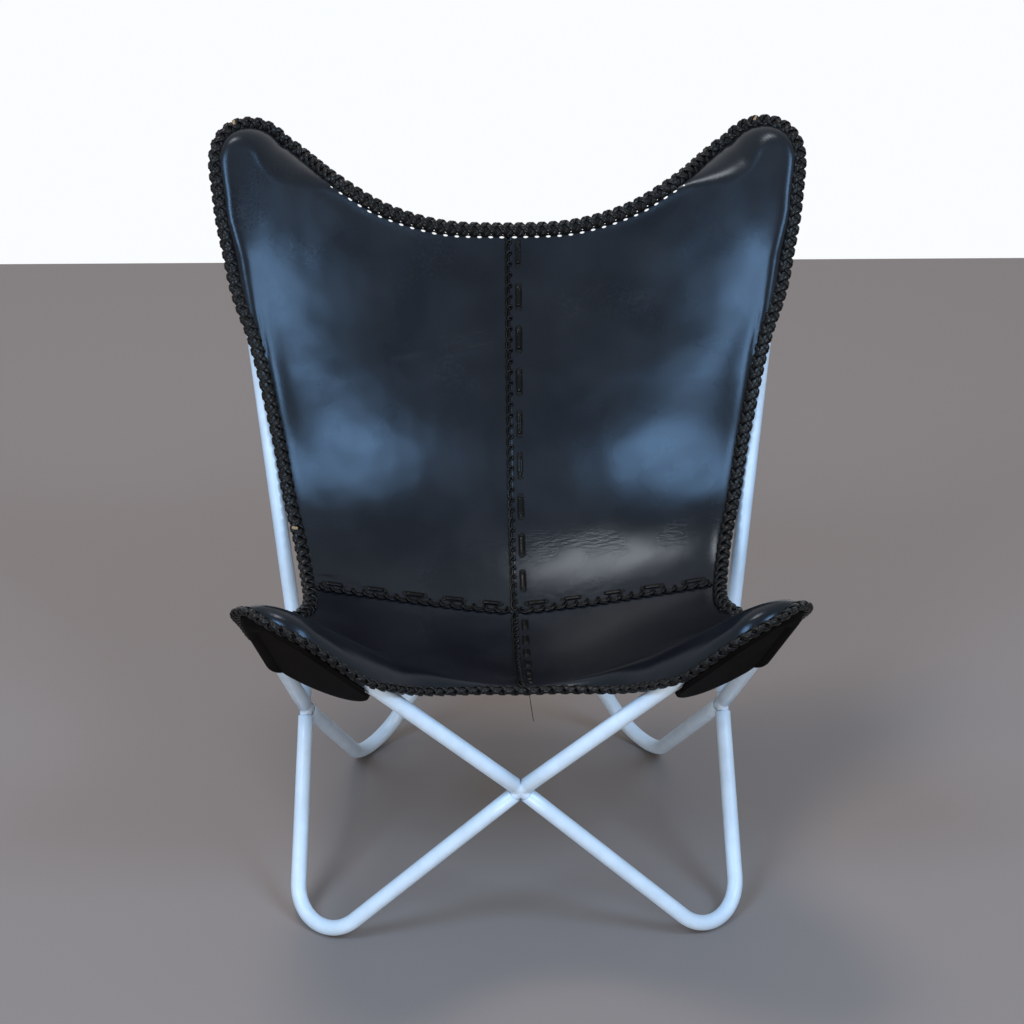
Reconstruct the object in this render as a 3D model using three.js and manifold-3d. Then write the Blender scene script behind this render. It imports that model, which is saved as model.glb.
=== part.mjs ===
// Butterfly sling chair: a knock-down frame of bent steel tubes and a laced leather sling.
// Millimetres, +Z up. The sitter faces -Y and the chair stands on z = 0.
import * as THREE from 'three';
import Module from 'manifold-3d';

// Steel tubes and the connectors that they slide on
const tubeDiameter = 19.5;
const tubeWall = 1.5;
const spigotClearance = 0.3;
const spigotReach = 44;
const rimGap = 0.6;
const wearDepth = 0.9;
const tubeSides = 12;
const bendSteps = 9;
const rimSteps = 90;

// Where the bends and the crossings lie: half span across, depth (front is negative), height
const frontFootSpan = 230;
const frontFootDepth = -198;
const rearFootSpan = 177;
const rearFootDepth = 187;
const footBend = 57.5;
const frontCrossDepth = -254;
const frontCrossHeight = 228;
const sideCrossSpan = 268;
const sideCrossDepth = -33;
const sideCrossHeight = 214;
const rearCrossDepth = 268;
const rearCrossHeight = 294;
const frontTipSpan = 273;
const frontTipDepth = -275;
const frontTipHeight = 455;
const frontTipBend = 46;
const rearTipSpan = 336;
const rearTipDepth = 374;
const rearTipHeight = 801;
const rearTipBend = 35;

// Leather
const hideThickness = 3;
const hideGap = 0.3;
const seatLowDepth = -53;
const seatLowHeight = 319;
const bucketRise = 86;
const rollWidth = 14;
const flatRoll = 3;
const hideSag = 2.4;
const pocketGap = 1.2;
const pocketSlack = 0.4;
const probe = 2;
const pocketFade = 25;
const frontMouthBow = 0.45;
const rearMouthBow = 0;
const pocketParts = 6;
const pocketReaches = [0, 4, 9, 14, 20, 29];
const pocketRows = 8;
const stepPower = 1.2;
const rearPocketStation = 9.4;
const rearPocketShare = 0.875;
const frontPocketStation = 2.75;
const frontPocketShare = 0.6;
const wingRaise = 6;
const frontRaise = -12;
const frontTurnShare = 0.68;
const frontTurnPower = 2.4;
const frontTurnLeast = 0.05;

// Thong work
const braidWidth = 14;
const braidThickness = 9;
const chainWidth = 10;
const chainThickness = 2.5;
const stitchWidth = 4.5;
const stitchThickness = 1.6;
const stitchOffset = 13;
const chainLift = 0.2;
const crossLift = 1.7;
const laceGap = 1.3;
const laceTrim = 2.5;

// The centre line of the sling, as shares of the way from its low point to the tips:
// back (or forward) and up
const frontLineShares = [[1.66, 1.054], [1.26, 0.705], [0.861, 0.357], [0.444, 0.078]];
const backLineShares = [
  [0.228, 0.0395], [0.431, 0.139], [0.594, 0.287], [0.716, 0.464],
  [0.811, 0.655], [0.914, 0.85], [1.016, 1.037], [1.119, 1.225],
];
// How far the sides stand above the centre line at each of its stations, and how full the flanks are
const riseShares = [1.28, 1.14, 0.93, 0.91, 0.91, 0.93, 0.95, 1, 0.9, 0.66, 0.465, 0.302, 0.186];
const flankShares = [1.2, 1.2, 1.2, 0.8, 0.3, 0, 0, 0, 0, 0, 0, 0, 0];
// Stations along the centre line, front to back, and edges as shares of the local half span
const frontEdgeStation = 2.06;
const crossSeamStation = 4.6;
const topEdgeStation = 9.88;
const crossSeamBowShares = [[0, 0], [0.3, 0.07], [0.65, 0.08], [1, -0.03]];
const backSideShares = [
  [4.57, 0.878], [5.05, 0.885], [5.55, 0.897], [6.1, 0.919], [6.8, 0.939],
  [7.5, 0.966], [8.1, 0.985], [8.6, 1.007], [9.0, 1.034],
];
const seatSideShares = [[3.1, 1.03], [3.6, 0.922], [4.1, 0.876]];
const topShares = [
  [11.04, 0.86], [10.84, 0.79], [10.59, 0.71], [10.38, 0.62], [10.2, 0.535],
  [10.07, 0.44], [9.98, 0.35], [9.9, 0.22],
];
const frontShares = [[1.42, 0.57], [1.8, 0.42], [2.02, 0.215]];
// How far the hide stays sewn along a tip tube's arms, as shares of the bend's radius
const wingInnerShare = 1.8;
const wingOuterShare = 2.6;
const lobeOuterShare = 2.4;
// How far the seam stands outside a tip tube's line, mark by mark from the outer arm over the bend
const wingOverhangs = [15, 15, 15, 15, 15, 15, 15, 15, 15, 15, 15, 15, 15, 15];
const lobeOverhangs = [15, 15, 15, 15, 15, 15, 15, 15, 16, 18, 20, 22];
// Stations between which the span widens, the sling's lift changes and the hide leaves the pockets,
// and the share of the rear tip's span over which its top edge does
const spanStations = [1, 11];
const liftStations = [3, 6];
const backSewnStations = [8.5, 9.2];
const backSewnShares = [0.67, 0.87];
const seatSewnStations = [2.7, 3.5];
const raiseShares = [1.05, 1.2];

const wasm = await Module();
wasm.setup();

const chair = new THREE.Group();
const vec = (x, y, z) => new THREE.Vector3(x, y, z);
const mirrored = (point) => vec(-point.x, point.y, point.z);
const mix = (a, b, share) => a + (b - a) * share;
const clamp = (value) => Math.min(1, Math.max(0, value));
const ease = (from, to, value) => {
  const share = clamp((value - from) / (to - from));
  return share * share * (3 - 2 * share);
};

const enamel = { color: 0xaecbe6, roughness: 0.42, metalness: 0.15 };
const leather = { color: 0x23252c, roughness: 0.45, metalness: 0 };
const pouch = { color: 0x1d1b1c, roughness: 0.75, metalness: 0 };
const thong = { color: 0x17181c, roughness: 0.6, metalness: 0 };

function addPiece(name, geometry, finish) {
  const mesh = new THREE.Mesh(geometry, new THREE.MeshStandardMaterial(finish));
  mesh.name = name;
  chair.add(mesh);
  return mesh;
}

function geometryOf(points, faces) {
  const geometry = new THREE.BufferGeometry();
  const flat = points.flatMap((point) => [point.x, point.y, point.z]);
  geometry.setAttribute('position', new THREE.Float32BufferAttribute(flat, 3));
  geometry.setIndex(faces);
  geometry.computeVertexNormals();
  return geometry;
}

function solidOf(geometry) {
  const position = geometry.getAttribute('position');
  return new wasm.Manifold(new wasm.Mesh({
    numProp: 3,
    vertProperties: new Float32Array(position.array),
    triVerts: new Uint32Array(geometry.getIndex().array),
  }));
}

function geometryFrom(solid) {
  const mesh = solid.getMesh();
  const geometry = new THREE.BufferGeometry();
  geometry.setAttribute('position', new THREE.BufferAttribute(mesh.vertProperties, 3));
  geometry.setIndex([...mesh.triVerts]);
  geometry.computeVertexNormals();
  return geometry;
}

// Joins rings of points, each an array of the same count, into side faces
function ringFaces(first, rings, sides, inward) {
  const faces = [];
  for (let ring = 0; ring < rings - 1; ring += 1) {
    for (let side = 0; side < sides; side += 1) {
      const a = first + ring * sides + side;
      const b = first + ring * sides + ((side + 1) % sides);
      const c = a + sides;
      const d = b + sides;
      faces.push(...(inward ? [a, c, b, b, c, d] : [a, b, c, b, d, c]));
    }
  }
  return faces;
}

// Tubes

const tubeRadius = tubeDiameter / 2;
const boreRadius = tubeRadius - tubeWall;
const spigotRadius = boreRadius - spigotClearance;

// A run from start, round a bend of the given radius about centre, to end, all in one plane
function bentRun(start, centre, end, radius) {
  const toStart = start.clone().sub(centre);
  const toEnd = end.clone().sub(centre);
  const normal = toStart.clone().cross(toEnd).normalize();
  const opening = toStart.angleTo(toEnd);
  const startTurn = Math.acos(radius / toStart.length());
  const endTurn = Math.acos(radius / toEnd.length());
  const sweep = 2 * Math.PI - opening - startTurn - endTurn;
  const spoke = toStart.clone().normalize().applyAxisAngle(normal, -startTurn);
  const arc = [];
  for (let step = 0; step <= bendSteps; step += 1) {
    const turned = spoke.clone().applyAxisAngle(normal, (-sweep * step) / bendSteps);
    arc.push(turned.multiplyScalar(radius).add(centre));
  }
  return {
    start,
    centre,
    end,
    normal,
    radius,
    arc,
    startDirection: arc[0].clone().sub(start).normalize(),
    endDirection: arc[bendSteps].clone().sub(end).normalize(),
  };
}

// The bend centre of a foot stands so high that the tube's underside is worn by wearDepth
function footCentre(start, end, span, depth) {
  const centre = vec(span, depth, footBend);
  for (let round = 0; round < 8; round += 1) {
    const low = Math.sqrt(1 - bentRun(start, centre, end, footBend).normal.z ** 2);
    centre.z = tubeRadius - wearDepth + footBend * low;
  }
  return centre;
}

const frontCross = vec(0, frontCrossDepth, frontCrossHeight);
const rearCross = vec(0, rearCrossDepth, rearCrossHeight);
const sideCross = vec(sideCrossSpan, sideCrossDepth, sideCrossHeight);

// The four bent tubes of the right half, each from one crossing to the next
const rightRuns = {
  foot_tube_front: bentRun(
    frontCross,
    footCentre(frontCross, sideCross, frontFootSpan, frontFootDepth),
    sideCross,
    footBend,
  ),
  foot_tube_rear: bentRun(
    sideCross,
    footCentre(sideCross, rearCross, rearFootSpan, rearFootDepth),
    rearCross,
    footBend,
  ),
  tip_tube_front: bentRun(
    frontCross,
    vec(frontTipSpan, frontTipDepth, frontTipHeight),
    sideCross,
    frontTipBend,
  ),
  tip_tube_rear: bentRun(
    sideCross,
    vec(rearTipSpan, rearTipDepth, rearTipHeight),
    rearCross,
    rearTipBend,
  ),
};

function mirroredRun(run) {
  return bentRun(mirrored(run.start), mirrored(run.centre), mirrored(run.end), run.radius);
}

const runs = [];
for (const [name, run] of Object.entries(rightRuns)) {
  runs.push({ name: `${name}_right`, run });
  runs.push({ name: `${name}_left`, run: mirroredRun(run) });
}

// Every tube end that meets at a crossing, with the way that it leaves
function armsAt(cross) {
  const arms = [];
  for (const { run } of runs) {
    if (run.start.distanceTo(cross) < tubeWall) {
      arms.push({ direction: run.startDirection, normal: run.normal });
    }
    if (run.end.distanceTo(cross) < tubeWall) {
      arms.push({ direction: run.endDirection, normal: run.normal });
    }
  }
  return arms;
}

// A tube's rim stands back from the crossing so far that it clears the neighbouring rims
function rimDistance(cross, direction) {
  let distance = 0;
  for (const arm of armsAt(cross)) {
    const angle = arm.direction.angleTo(direction);
    if (angle > rimGap / tubeDiameter) {
      distance = Math.max(distance, tubeRadius / Math.tan(angle / 2));
    }
  }
  return distance + rimGap;
}

// A ring of points about a run's line, with one axis square to the plane of the bend
function ringAt(centre, direction, normal, radius) {
  const across = direction.clone().cross(normal);
  const ring = [];
  for (let side = 0; side < tubeSides; side += 1) {
    const angle = (2 * Math.PI * (side + 1 / 2)) / tubeSides;
    ring.push(centre.clone()
      .addScaledVector(normal, radius * Math.cos(angle))
      .addScaledVector(across, radius * Math.sin(angle)));
  }
  return ring;
}

function tubeGeometry(run) {
  const first = run.start.clone()
    .addScaledVector(run.startDirection, rimDistance(run.start, run.startDirection));
  const last = run.end.clone()
    .addScaledVector(run.endDirection, rimDistance(run.end, run.endDirection));
  const line = [first, ...run.arc, last];
  const rings = line.map((point, index) => {
    const onBend = index > 0 && index < line.length - 1;
    const spoke = point.clone().sub(run.centre);
    const direction = onBend ? spoke.cross(run.normal).normalize() : run.startDirection.clone();
    if (index === line.length - 1) {
      direction.copy(run.endDirection).negate();
    }
    return { point, direction };
  });
  const points = [];
  for (const radius of [tubeRadius, boreRadius]) {
    for (const { point, direction } of rings) {
      points.push(...ringAt(point, direction, run.normal, radius));
    }
  }
  const bore = rings.length * tubeSides;
  const faces = [
    ...ringFaces(0, rings.length, tubeSides, false),
    ...ringFaces(bore, rings.length, tubeSides, true),
  ];
  for (const [ring, flip] of [[0, true], [rings.length - 1, false]]) {
    for (let side = 0; side < tubeSides; side += 1) {
      const a = ring * tubeSides + side;
      const b = ring * tubeSides + ((side + 1) % tubeSides);
      const c = a + bore;
      const d = b + bore;
      faces.push(...(flip ? [a, c, b, b, c, d] : [a, b, c, b, d, c]));
    }
  }
  return geometryOf(points, faces);
}

// A foot's underside is worn flat where it stands
function wornFoot(geometry) {
  const reach = frontFootSpan + rearFootSpan;
  const ground = new THREE.BoxGeometry(2 * reach, 2 * reach, reach);
  ground.deleteAttribute('normal');
  ground.deleteAttribute('uv');
  const corners = [];
  const places = [];
  const position = ground.getAttribute('position');
  for (const index of ground.getIndex().array) {
    const key = [position.getX(index), position.getY(index), position.getZ(index)].join(' ');
    if (!places.includes(key)) {
      places.push(key);
      corners.push(vec(position.getX(index), position.getY(index), position.getZ(index) - reach / 2));
    }
  }
  const faces = [...ground.getIndex().array].map((index) => places.indexOf(
    [position.getX(index), position.getY(index), position.getZ(index)].join(' '),
  ));
  return geometryFrom(solidOf(geometry).subtract(solidOf(geometryOf(corners, faces))));
}

function spigotGeometry(cross, arm) {
  const reach = rimDistance(cross, arm.direction) + spigotReach;
  const points = [
    ...ringAt(cross, arm.direction, arm.normal, spigotRadius),
    ...ringAt(cross.clone().addScaledVector(arm.direction, reach), arm.direction, arm.normal, spigotRadius),
  ];
  const faces = ringFaces(0, 2, tubeSides, false);
  for (let side = 1; side < tubeSides - 1; side += 1) {
    faces.push(0, side + 1, side);
    faces.push(tubeSides, tubeSides + side, tubeSides + side + 1);
  }
  return geometryOf(points, faces);
}

// Four spigots welded into one cross
function connectorGeometry(cross) {
  const [first, ...rest] = armsAt(cross).map((arm) => solidOf(spigotGeometry(cross, arm)));
  return geometryFrom(rest.reduce((whole, spigot) => whole.add(spigot), first));
}

for (const { name, run } of runs) {
  const geometry = tubeGeometry(run);
  addPiece(name, name.startsWith('foot') ? wornFoot(geometry) : geometry, enamel);
}
addPiece('cross_connector_front', connectorGeometry(frontCross), enamel);
addPiece('cross_connector_rear', connectorGeometry(rearCross), enamel);
addPiece('cross_connector_right', connectorGeometry(sideCross), enamel);
addPiece('cross_connector_left', connectorGeometry(mirrored(sideCross)), enamel);

// Sling

// Value and slope of a smooth line through rows of numbers, one row to a station
function through(rows, station) {
  const place = Math.min(Math.max(station, 0), rows.length - 1);
  const from = Math.min(Math.floor(place), rows.length - 2);
  const t = place - from;
  const values = [];
  const slopes = [];
  for (let column = 0; column < rows[0].length; column += 1) {
    const b = rows[from][column];
    const c = rows[from + 1][column];
    const a = from > 0 ? rows[from - 1][column] : 2 * b - c;
    const d = from < rows.length - 2 ? rows[from + 2][column] : 2 * c - b;
    const inSlope = (c - a) / 2;
    const outSlope = (d - b) / 2;
    const cube = 2 * b - 2 * c + inSlope + outSlope;
    const square = 3 * c - 3 * b - 2 * inSlope - outSlope;
    values.push(((cube * t + square) * t + inSlope) * t + b);
    slopes.push((3 * cube * t + 2 * square) * t + inSlope);
  }
  return { values, slopes };
}

const centreRows = [
  ...frontLineShares.map(([back, up]) => [
    mix(seatLowDepth, frontTipDepth, back),
    mix(seatLowHeight, frontTipHeight, up),
  ]),
  [seatLowDepth, seatLowHeight],
  ...backLineShares.map(([back, up]) => [
    mix(seatLowDepth, rearTipDepth, back),
    mix(seatLowHeight, rearTipHeight, up),
  ]),
];

// The centre line at a station: place, way along it and way square to it, in the YZ plane
function centreLine(station) {
  const { values, slopes } = through(centreRows, station);
  const length = Math.hypot(...slopes);
  return {
    y: values[0],
    z: values[1],
    along: [slopes[0] / length, slopes[1] / length],
    square: [-slopes[1] / length, slopes[0] / length],
    length,
  };
}

// Station and height above the centre line of a point in space
function slingPlace(point) {
  let station = 0;
  let nearest = Infinity;
  const count = 20 * (centreRows.length - 1);
  for (let step = 0; step <= count; step += 1) {
    const line = centreLine(step / 20);
    const distance = Math.hypot(point.y - line.y, point.z - line.z);
    if (distance < nearest) {
      nearest = distance;
      station = step / 20;
    }
  }
  for (let round = 0; round < 6; round += 1) {
    const line = centreLine(station);
    const ahead = (point.y - line.y) * line.along[0] + (point.z - line.z) * line.along[1];
    station += ahead / line.length;
  }
  const line = centreLine(station);
  const height = (point.y - line.y) * line.square[0] + (point.z - line.z) * line.square[1];
  return { x: point.x, station, height };
}

// How far a tube under the hide holds its middle surface off the tube's line
const standOff = tubeRadius + hideThickness / 2 + 2 * hideGap;

// The section across the sling: a parabola whose flanks fill out towards the front
function section(x, station) {
  const share = Math.abs(x) / rearTipSpan;
  const full = through(flankShares.map((value) => [value]), station).values[0];
  return share * share * (1 + full * (1 - share * share));
}

const plainRise = (station) => bucketRise * through(riseShares.map((value) => [value]), station).values[0];

// Points along the tip tubes where the hide can rest on them
function tubeMarks(run) {
  const marks = [...run.arc];
  for (const end of [run.start, run.end]) {
    const near = end === run.start ? run.arc[0] : run.arc[bendSteps];
    for (const share of [0.25, 0.5, 0.75]) {
      marks.push(near.clone().lerp(end, share));
    }
  }
  return marks.map(slingPlace);
}

// The whole sling is lifted until it just rests on the tip tubes
function liftOver(run) {
  let lift = -Infinity;
  for (const mark of tubeMarks(run)) {
    const needed = (mark.height + standOff) / section(mark.x, mark.station);
    lift = Math.max(lift, needed - plainRise(mark.station));
  }
  return lift;
}
const frontLift = liftOver(rightRuns.tip_tube_front);
const rearLift = liftOver(rightRuns.tip_tube_rear);

function baseHeight(x, station) {
  const lift = mix(frontLift, rearLift, ease(...liftStations, station));
  return (plainRise(station) + lift) * section(x, station);
}

function slingPoint(x, station, height) {
  const line = centreLine(station);
  return vec(x, line.y + line.square[0] * height, line.z + line.square[1] * height);
}

// Height of the plane of a bent tube above the centre line
function planeHeight(run, x, station) {
  const line = centreLine(station);
  const { normal, centre } = run;
  const gap = (centre.x - Math.abs(x)) * normal.x
    + (centre.y - line.y) * normal.y + (centre.z - line.z) * normal.z;
  return gap / (line.square[0] * normal.y + line.square[1] * normal.z);
}

// Edges of the hide, as points [x, station]

const halfSpan = (station) => mix(frontTipSpan, rearTipSpan, ease(...spanStations, station));
const placed = ([station, share]) => [share * halfSpan(station), station];

// The seam round a tip: marks on the tube's line, down its arms too, each moved out by its overhang
function seamRound(run, startRun, endRun, overhangs) {
  const square = (point, direction) => {
    const way = direction.clone().cross(run.normal).normalize();
    return way.multiplyScalar(Math.sign(way.dot(point.clone().sub(run.centre))));
  };
  const down = (point, direction, length) => [
    point.clone().addScaledVector(direction, -length),
    square(point, direction),
  ];
  const first = run.arc[0];
  const last = run.arc[bendSteps];
  const marks = run.arc.map((point) => [point, point.clone().sub(run.centre).normalize()]);
  if (startRun > 0) {
    marks.unshift(down(first, run.startDirection, startRun / 2));
    marks.unshift(down(first, run.startDirection, startRun));
  }
  if (endRun > 0) {
    marks.push(down(last, run.endDirection, endRun / 2));
    marks.push(down(last, run.endDirection, endRun));
  }
  return marks
    .map(([point, way], index) => slingPlace(point.clone().addScaledVector(way, overhangs[index])))
    .map((mark) => [mark.x, mark.station]);
}

const wing = seamRound(
  rightRuns.tip_tube_front,
  wingInnerShare * frontTipBend,
  wingOuterShare * frontTipBend,
  wingOverhangs,
);
const wingCorner = 8;
const lobe = seamRound(rightRuns.tip_tube_rear, lobeOuterShare * rearTipBend, 0, lobeOverhangs);
const lobeCorner = 6;

// A smooth line through places, resampled evenly by its length
function edgeLine(places) {
  const rows = [];
  const count = 16 * (places.length - 1);
  for (let step = 0; step <= count; step += 1) {
    rows.push(through(places, step / 16).values);
  }
  const lengths = [0];
  for (let step = 1; step <= count; step += 1) {
    const [x, station] = rows[step];
    const scale = centreLine(station).length;
    lengths.push(lengths[step - 1] + Math.hypot(x - rows[step - 1][0], scale * (station - rows[step - 1][1])));
  }
  return (share) => {
    const wanted = clamp(share) * lengths[count];
    let step = 1;
    while (step < count && lengths[step] < wanted) {
      step += 1;
    }
    const part = (wanted - lengths[step - 1]) / (lengths[step] - lengths[step - 1]);
    return [mix(rows[step - 1][0], rows[step][0], part), mix(rows[step - 1][1], rows[step][1], part)];
  };
}

const crossSeam = edgeLine(crossSeamBowShares.map(([share, bow]) => [
  share * placed(backSideShares[0])[0],
  crossSeamStation + bow,
]));
const backEdges = {
  low: crossSeam,
  side: edgeLine([...backSideShares.map(placed), ...lobe.slice(0, lobeCorner + 1)]),
  high: edgeLine([
    [0, topEdgeStation],
    ...topShares.map(placed).reverse(),
    ...lobe.slice(lobeCorner).reverse(),
  ]),
  centre: edgeLine([[0, crossSeamStation], [0, topEdgeStation]]),
};
const seatEdges = {
  low: edgeLine([[0, frontEdgeStation], ...frontShares.map(placed).reverse(), ...wing.slice(0, wingCorner + 1)]),
  side: edgeLine([...wing.slice(wingCorner), ...seatSideShares.map(placed), crossSeam(1)]),
  high: crossSeam,
  centre: edgeLine([[0, frontEdgeStation], [0, crossSeamStation]]),
};

// A panel's [x, station] at u across from the centre seam and v from its low edge to its high edge
function panelPlace(edges, u, v) {
  const low = edges.low(u);
  const high = edges.high(u);
  const centre = edges.centre(v);
  const side = edges.side(v);
  const corners = [edges.low(0), edges.low(1), edges.high(0), edges.high(1)];
  return [0, 1].map((axis) => mix(low[axis], high[axis], v) + mix(centre[axis], side[axis], u)
    - mix(mix(corners[0][axis], corners[1][axis], u), mix(corners[2][axis], corners[3][axis], u), v));
}

// Along its outer edges a panel is sewn to the pockets: 1 there, 0 elsewhere.
// The seat's front edge turns down more and more on its way out to the pocket.
const backSewn = {
  side: ([, station]) => ease(...backSewnStations, station),
  end: ([x]) => ease(...backSewnShares, x / rearTipSpan),
};
const seatSewn = {
  side: ([, station]) => 1 - ease(...seatSewnStations, station),
  end: ([x]) => mix(frontTurnLeast, 1, clamp(x / (frontTurnShare * frontTipSpan)) ** frontTurnPower),
};
// How far the seam stands above the tube's plane
const backRaise = { side: () => 0, end: () => 0 };
const seatRaise = {
  side: () => wingRaise,
  end: ([x]) => mix(frontRaise, wingRaise, ease(...raiseShares, x / frontTipSpan)),
};

// The outer edges of a panel as places, each with the drop of the hide from its free height there
function rimOf(edges, end, sewn, run, raise) {
  const rim = [];
  for (const name of ['side', end]) {
    const kind = name === 'side' ? 'side' : 'end';
    for (let step = 0; step <= rimSteps; step += 1) {
      const place = edges[name](step / rimSteps);
      const [x, station] = place;
      const seam = planeHeight(run, x, station) + (hideThickness + pocketGap) / 2 + raise[kind](place);
      const full = Math.max(flatRoll, baseHeight(x, station) - seam);
      rim.push({ x, station, drop: mix(flatRoll, full, sewn[kind](place)) });
    }
  }
  return rim;
}

// The nearest place of a rim, and how far away it is
function nearestRim(rim, x, station) {
  const scale = centreLine(station).length;
  let best = rim[0];
  let nearest = Infinity;
  for (const place of rim) {
    const distance = Math.hypot(place.x - x, scale * (place.station - station));
    if (distance < nearest) {
      nearest = distance;
      best = place;
    }
  }
  return { drop: best.drop, distance: nearest };
}

// The hide rolls over like a quarter round within a width of its edge
function rolled(distance, width) {
  const share = clamp(1 - distance / width);
  return 1 - Math.sqrt(1 - share * share);
}

const backPanel = {
  edges: backEdges,
  run: rightRuns.tip_tube_rear,
  mouthBow: rearMouthBow,
  rim: rimOf(backEdges, 'high', backSewn, rightRuns.tip_tube_rear, backRaise),
};
const seatPanel = {
  edges: seatEdges,
  run: rightRuns.tip_tube_front,
  mouthBow: frontMouthBow,
  rim: rimOf(seatEdges, 'low', seatSewn, rightRuns.tip_tube_front, seatRaise),
};

// Moves a point out square to a bent tube's line until it is clear of it
function clearOf(run, point, clear) {
  const flat = point.clone().sub(run.centre).projectOnPlane(run.normal);
  const nearest = vec(0, 0, 0);
  let distance = Infinity;
  const arms = [
    new THREE.Line3(run.start, run.arc[0]),
    new THREE.Line3(run.end, run.arc[bendSteps]),
  ];
  for (const arm of arms) {
    const foot = arm.closestPointToPoint(point, true, vec(0, 0, 0));
    if (foot.distanceTo(point) < distance) {
      distance = foot.distanceTo(point);
      nearest.copy(foot);
    }
  }
  const half = run.arc[0].clone().sub(run.centre).add(run.arc[bendSteps]).sub(run.centre);
  const turn = half.angleTo(run.arc[0].clone().sub(run.centre));
  if (flat.angleTo(half) < turn) {
    const foot = flat.setLength(run.radius).add(run.centre);
    if (foot.distanceTo(point) < distance) {
      distance = foot.distanceTo(point);
      nearest.copy(foot);
    }
  }
  if (distance < clear) {
    return nearest.add(point.clone().sub(nearest).setLength(clear));
  }
  return point;
}
const hideClear = tubeRadius + hideThickness / 2 + hideGap + hideSag;

function panelPoint(panel, x, station) {
  const { drop, distance } = nearestRim(panel.rim, x, station);
  const roll = drop * rolled(distance, rollWidth + Math.max(0, drop - standOff));
  return clearOf(panel.run, slingPoint(x, station, baseHeight(x, station) - roll), hideClear);
}

// The way square to a sheet, from its slopes at a place
function squareTo(surface, x, station) {
  const scale = probe / centreLine(station).length;
  const across = surface(x + probe, station).sub(surface(x - probe, station));
  const along = surface(x, station + scale).sub(surface(x, station - scale));
  return across.cross(along).normalize();
}

// A closed sheet of even thickness about a grid of middle points with their square ways
function sheetGeometry(grid, thickness, left) {
  const rows = grid.length;
  const columns = grid[0].length;
  const points = [];
  for (const side of [1, -1]) {
    for (const { point, square } of grid.flat()) {
      const corner = point.clone().addScaledVector(square, (side * thickness) / 2);
      points.push(left ? mirrored(corner) : corner);
    }
  }
  const back = rows * columns;
  const faces = [];
  const quad = (a, b, c, d) => faces.push(...(left ? [a, c, b, a, d, c] : [a, b, c, a, c, d]));
  for (let row = 0; row < rows - 1; row += 1) {
    for (let column = 0; column < columns - 1; column += 1) {
      const a = row * columns + column;
      quad(a, a + 1, a + columns + 1, a + columns);
      quad(back + a, back + a + columns, back + a + columns + 1, back + a + 1);
    }
  }
  for (let row = 0; row < rows - 1; row += 1) {
    const first = row * columns;
    const last = first + columns - 1;
    quad(first, first + columns, back + first + columns, back + first);
    quad(last, back + last, back + last + columns, last + columns);
  }
  for (let column = 0; column < columns - 1; column += 1) {
    const first = column;
    const last = (rows - 1) * columns + column;
    quad(first, back + first, back + first + 1, first + 1);
    quad(last, last + 1, back + last + 1, back + last);
  }
  return geometryOf(points, faces);
}

// Shares of a panel's width or length: shorter steps towards the outer edge, which rolls over
function stepShares(count, close) {
  const shares = [];
  for (let step = 0; step < count; step += 1) {
    shares.push((1 - (1 - step / count) ** stepPower) * (1 - close));
  }
  return [...shares, 1 - close, 1 - 0.6 * close, 1 - 0.25 * close, 1];
}
const across = stepShares(13, 0.055);
const backUp = stepShares(15, 0.04);
const seatUp = stepShares(7, 0.09).map((share) => 1 - share).reverse();

// Neighbouring panels keep a gap along the seams, by moving their places off them
function panelGrid(panel, up, seamRow) {
  const surface = (x, station) => panelPoint(panel, x, station);
  return up.map((v, row) => across.map((u, column) => {
    const place = panelPlace(panel.edges, u, v);
    const shift = hideGap / 2 / centreLine(place[1]).length;
    const x = column === 0 ? hideGap / 2 : place[0];
    const station = place[1] + (row === seamRow ? (seamRow === 0 ? shift : -shift) : 0);
    return { x, station, point: surface(x, station), square: squareTo(surface, x, station) };
  }));
}
const backGrid = panelGrid(backPanel, backUp, 0);
const seatGrid = panelGrid(seatPanel, seatUp, seatUp.length - 1);

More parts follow.
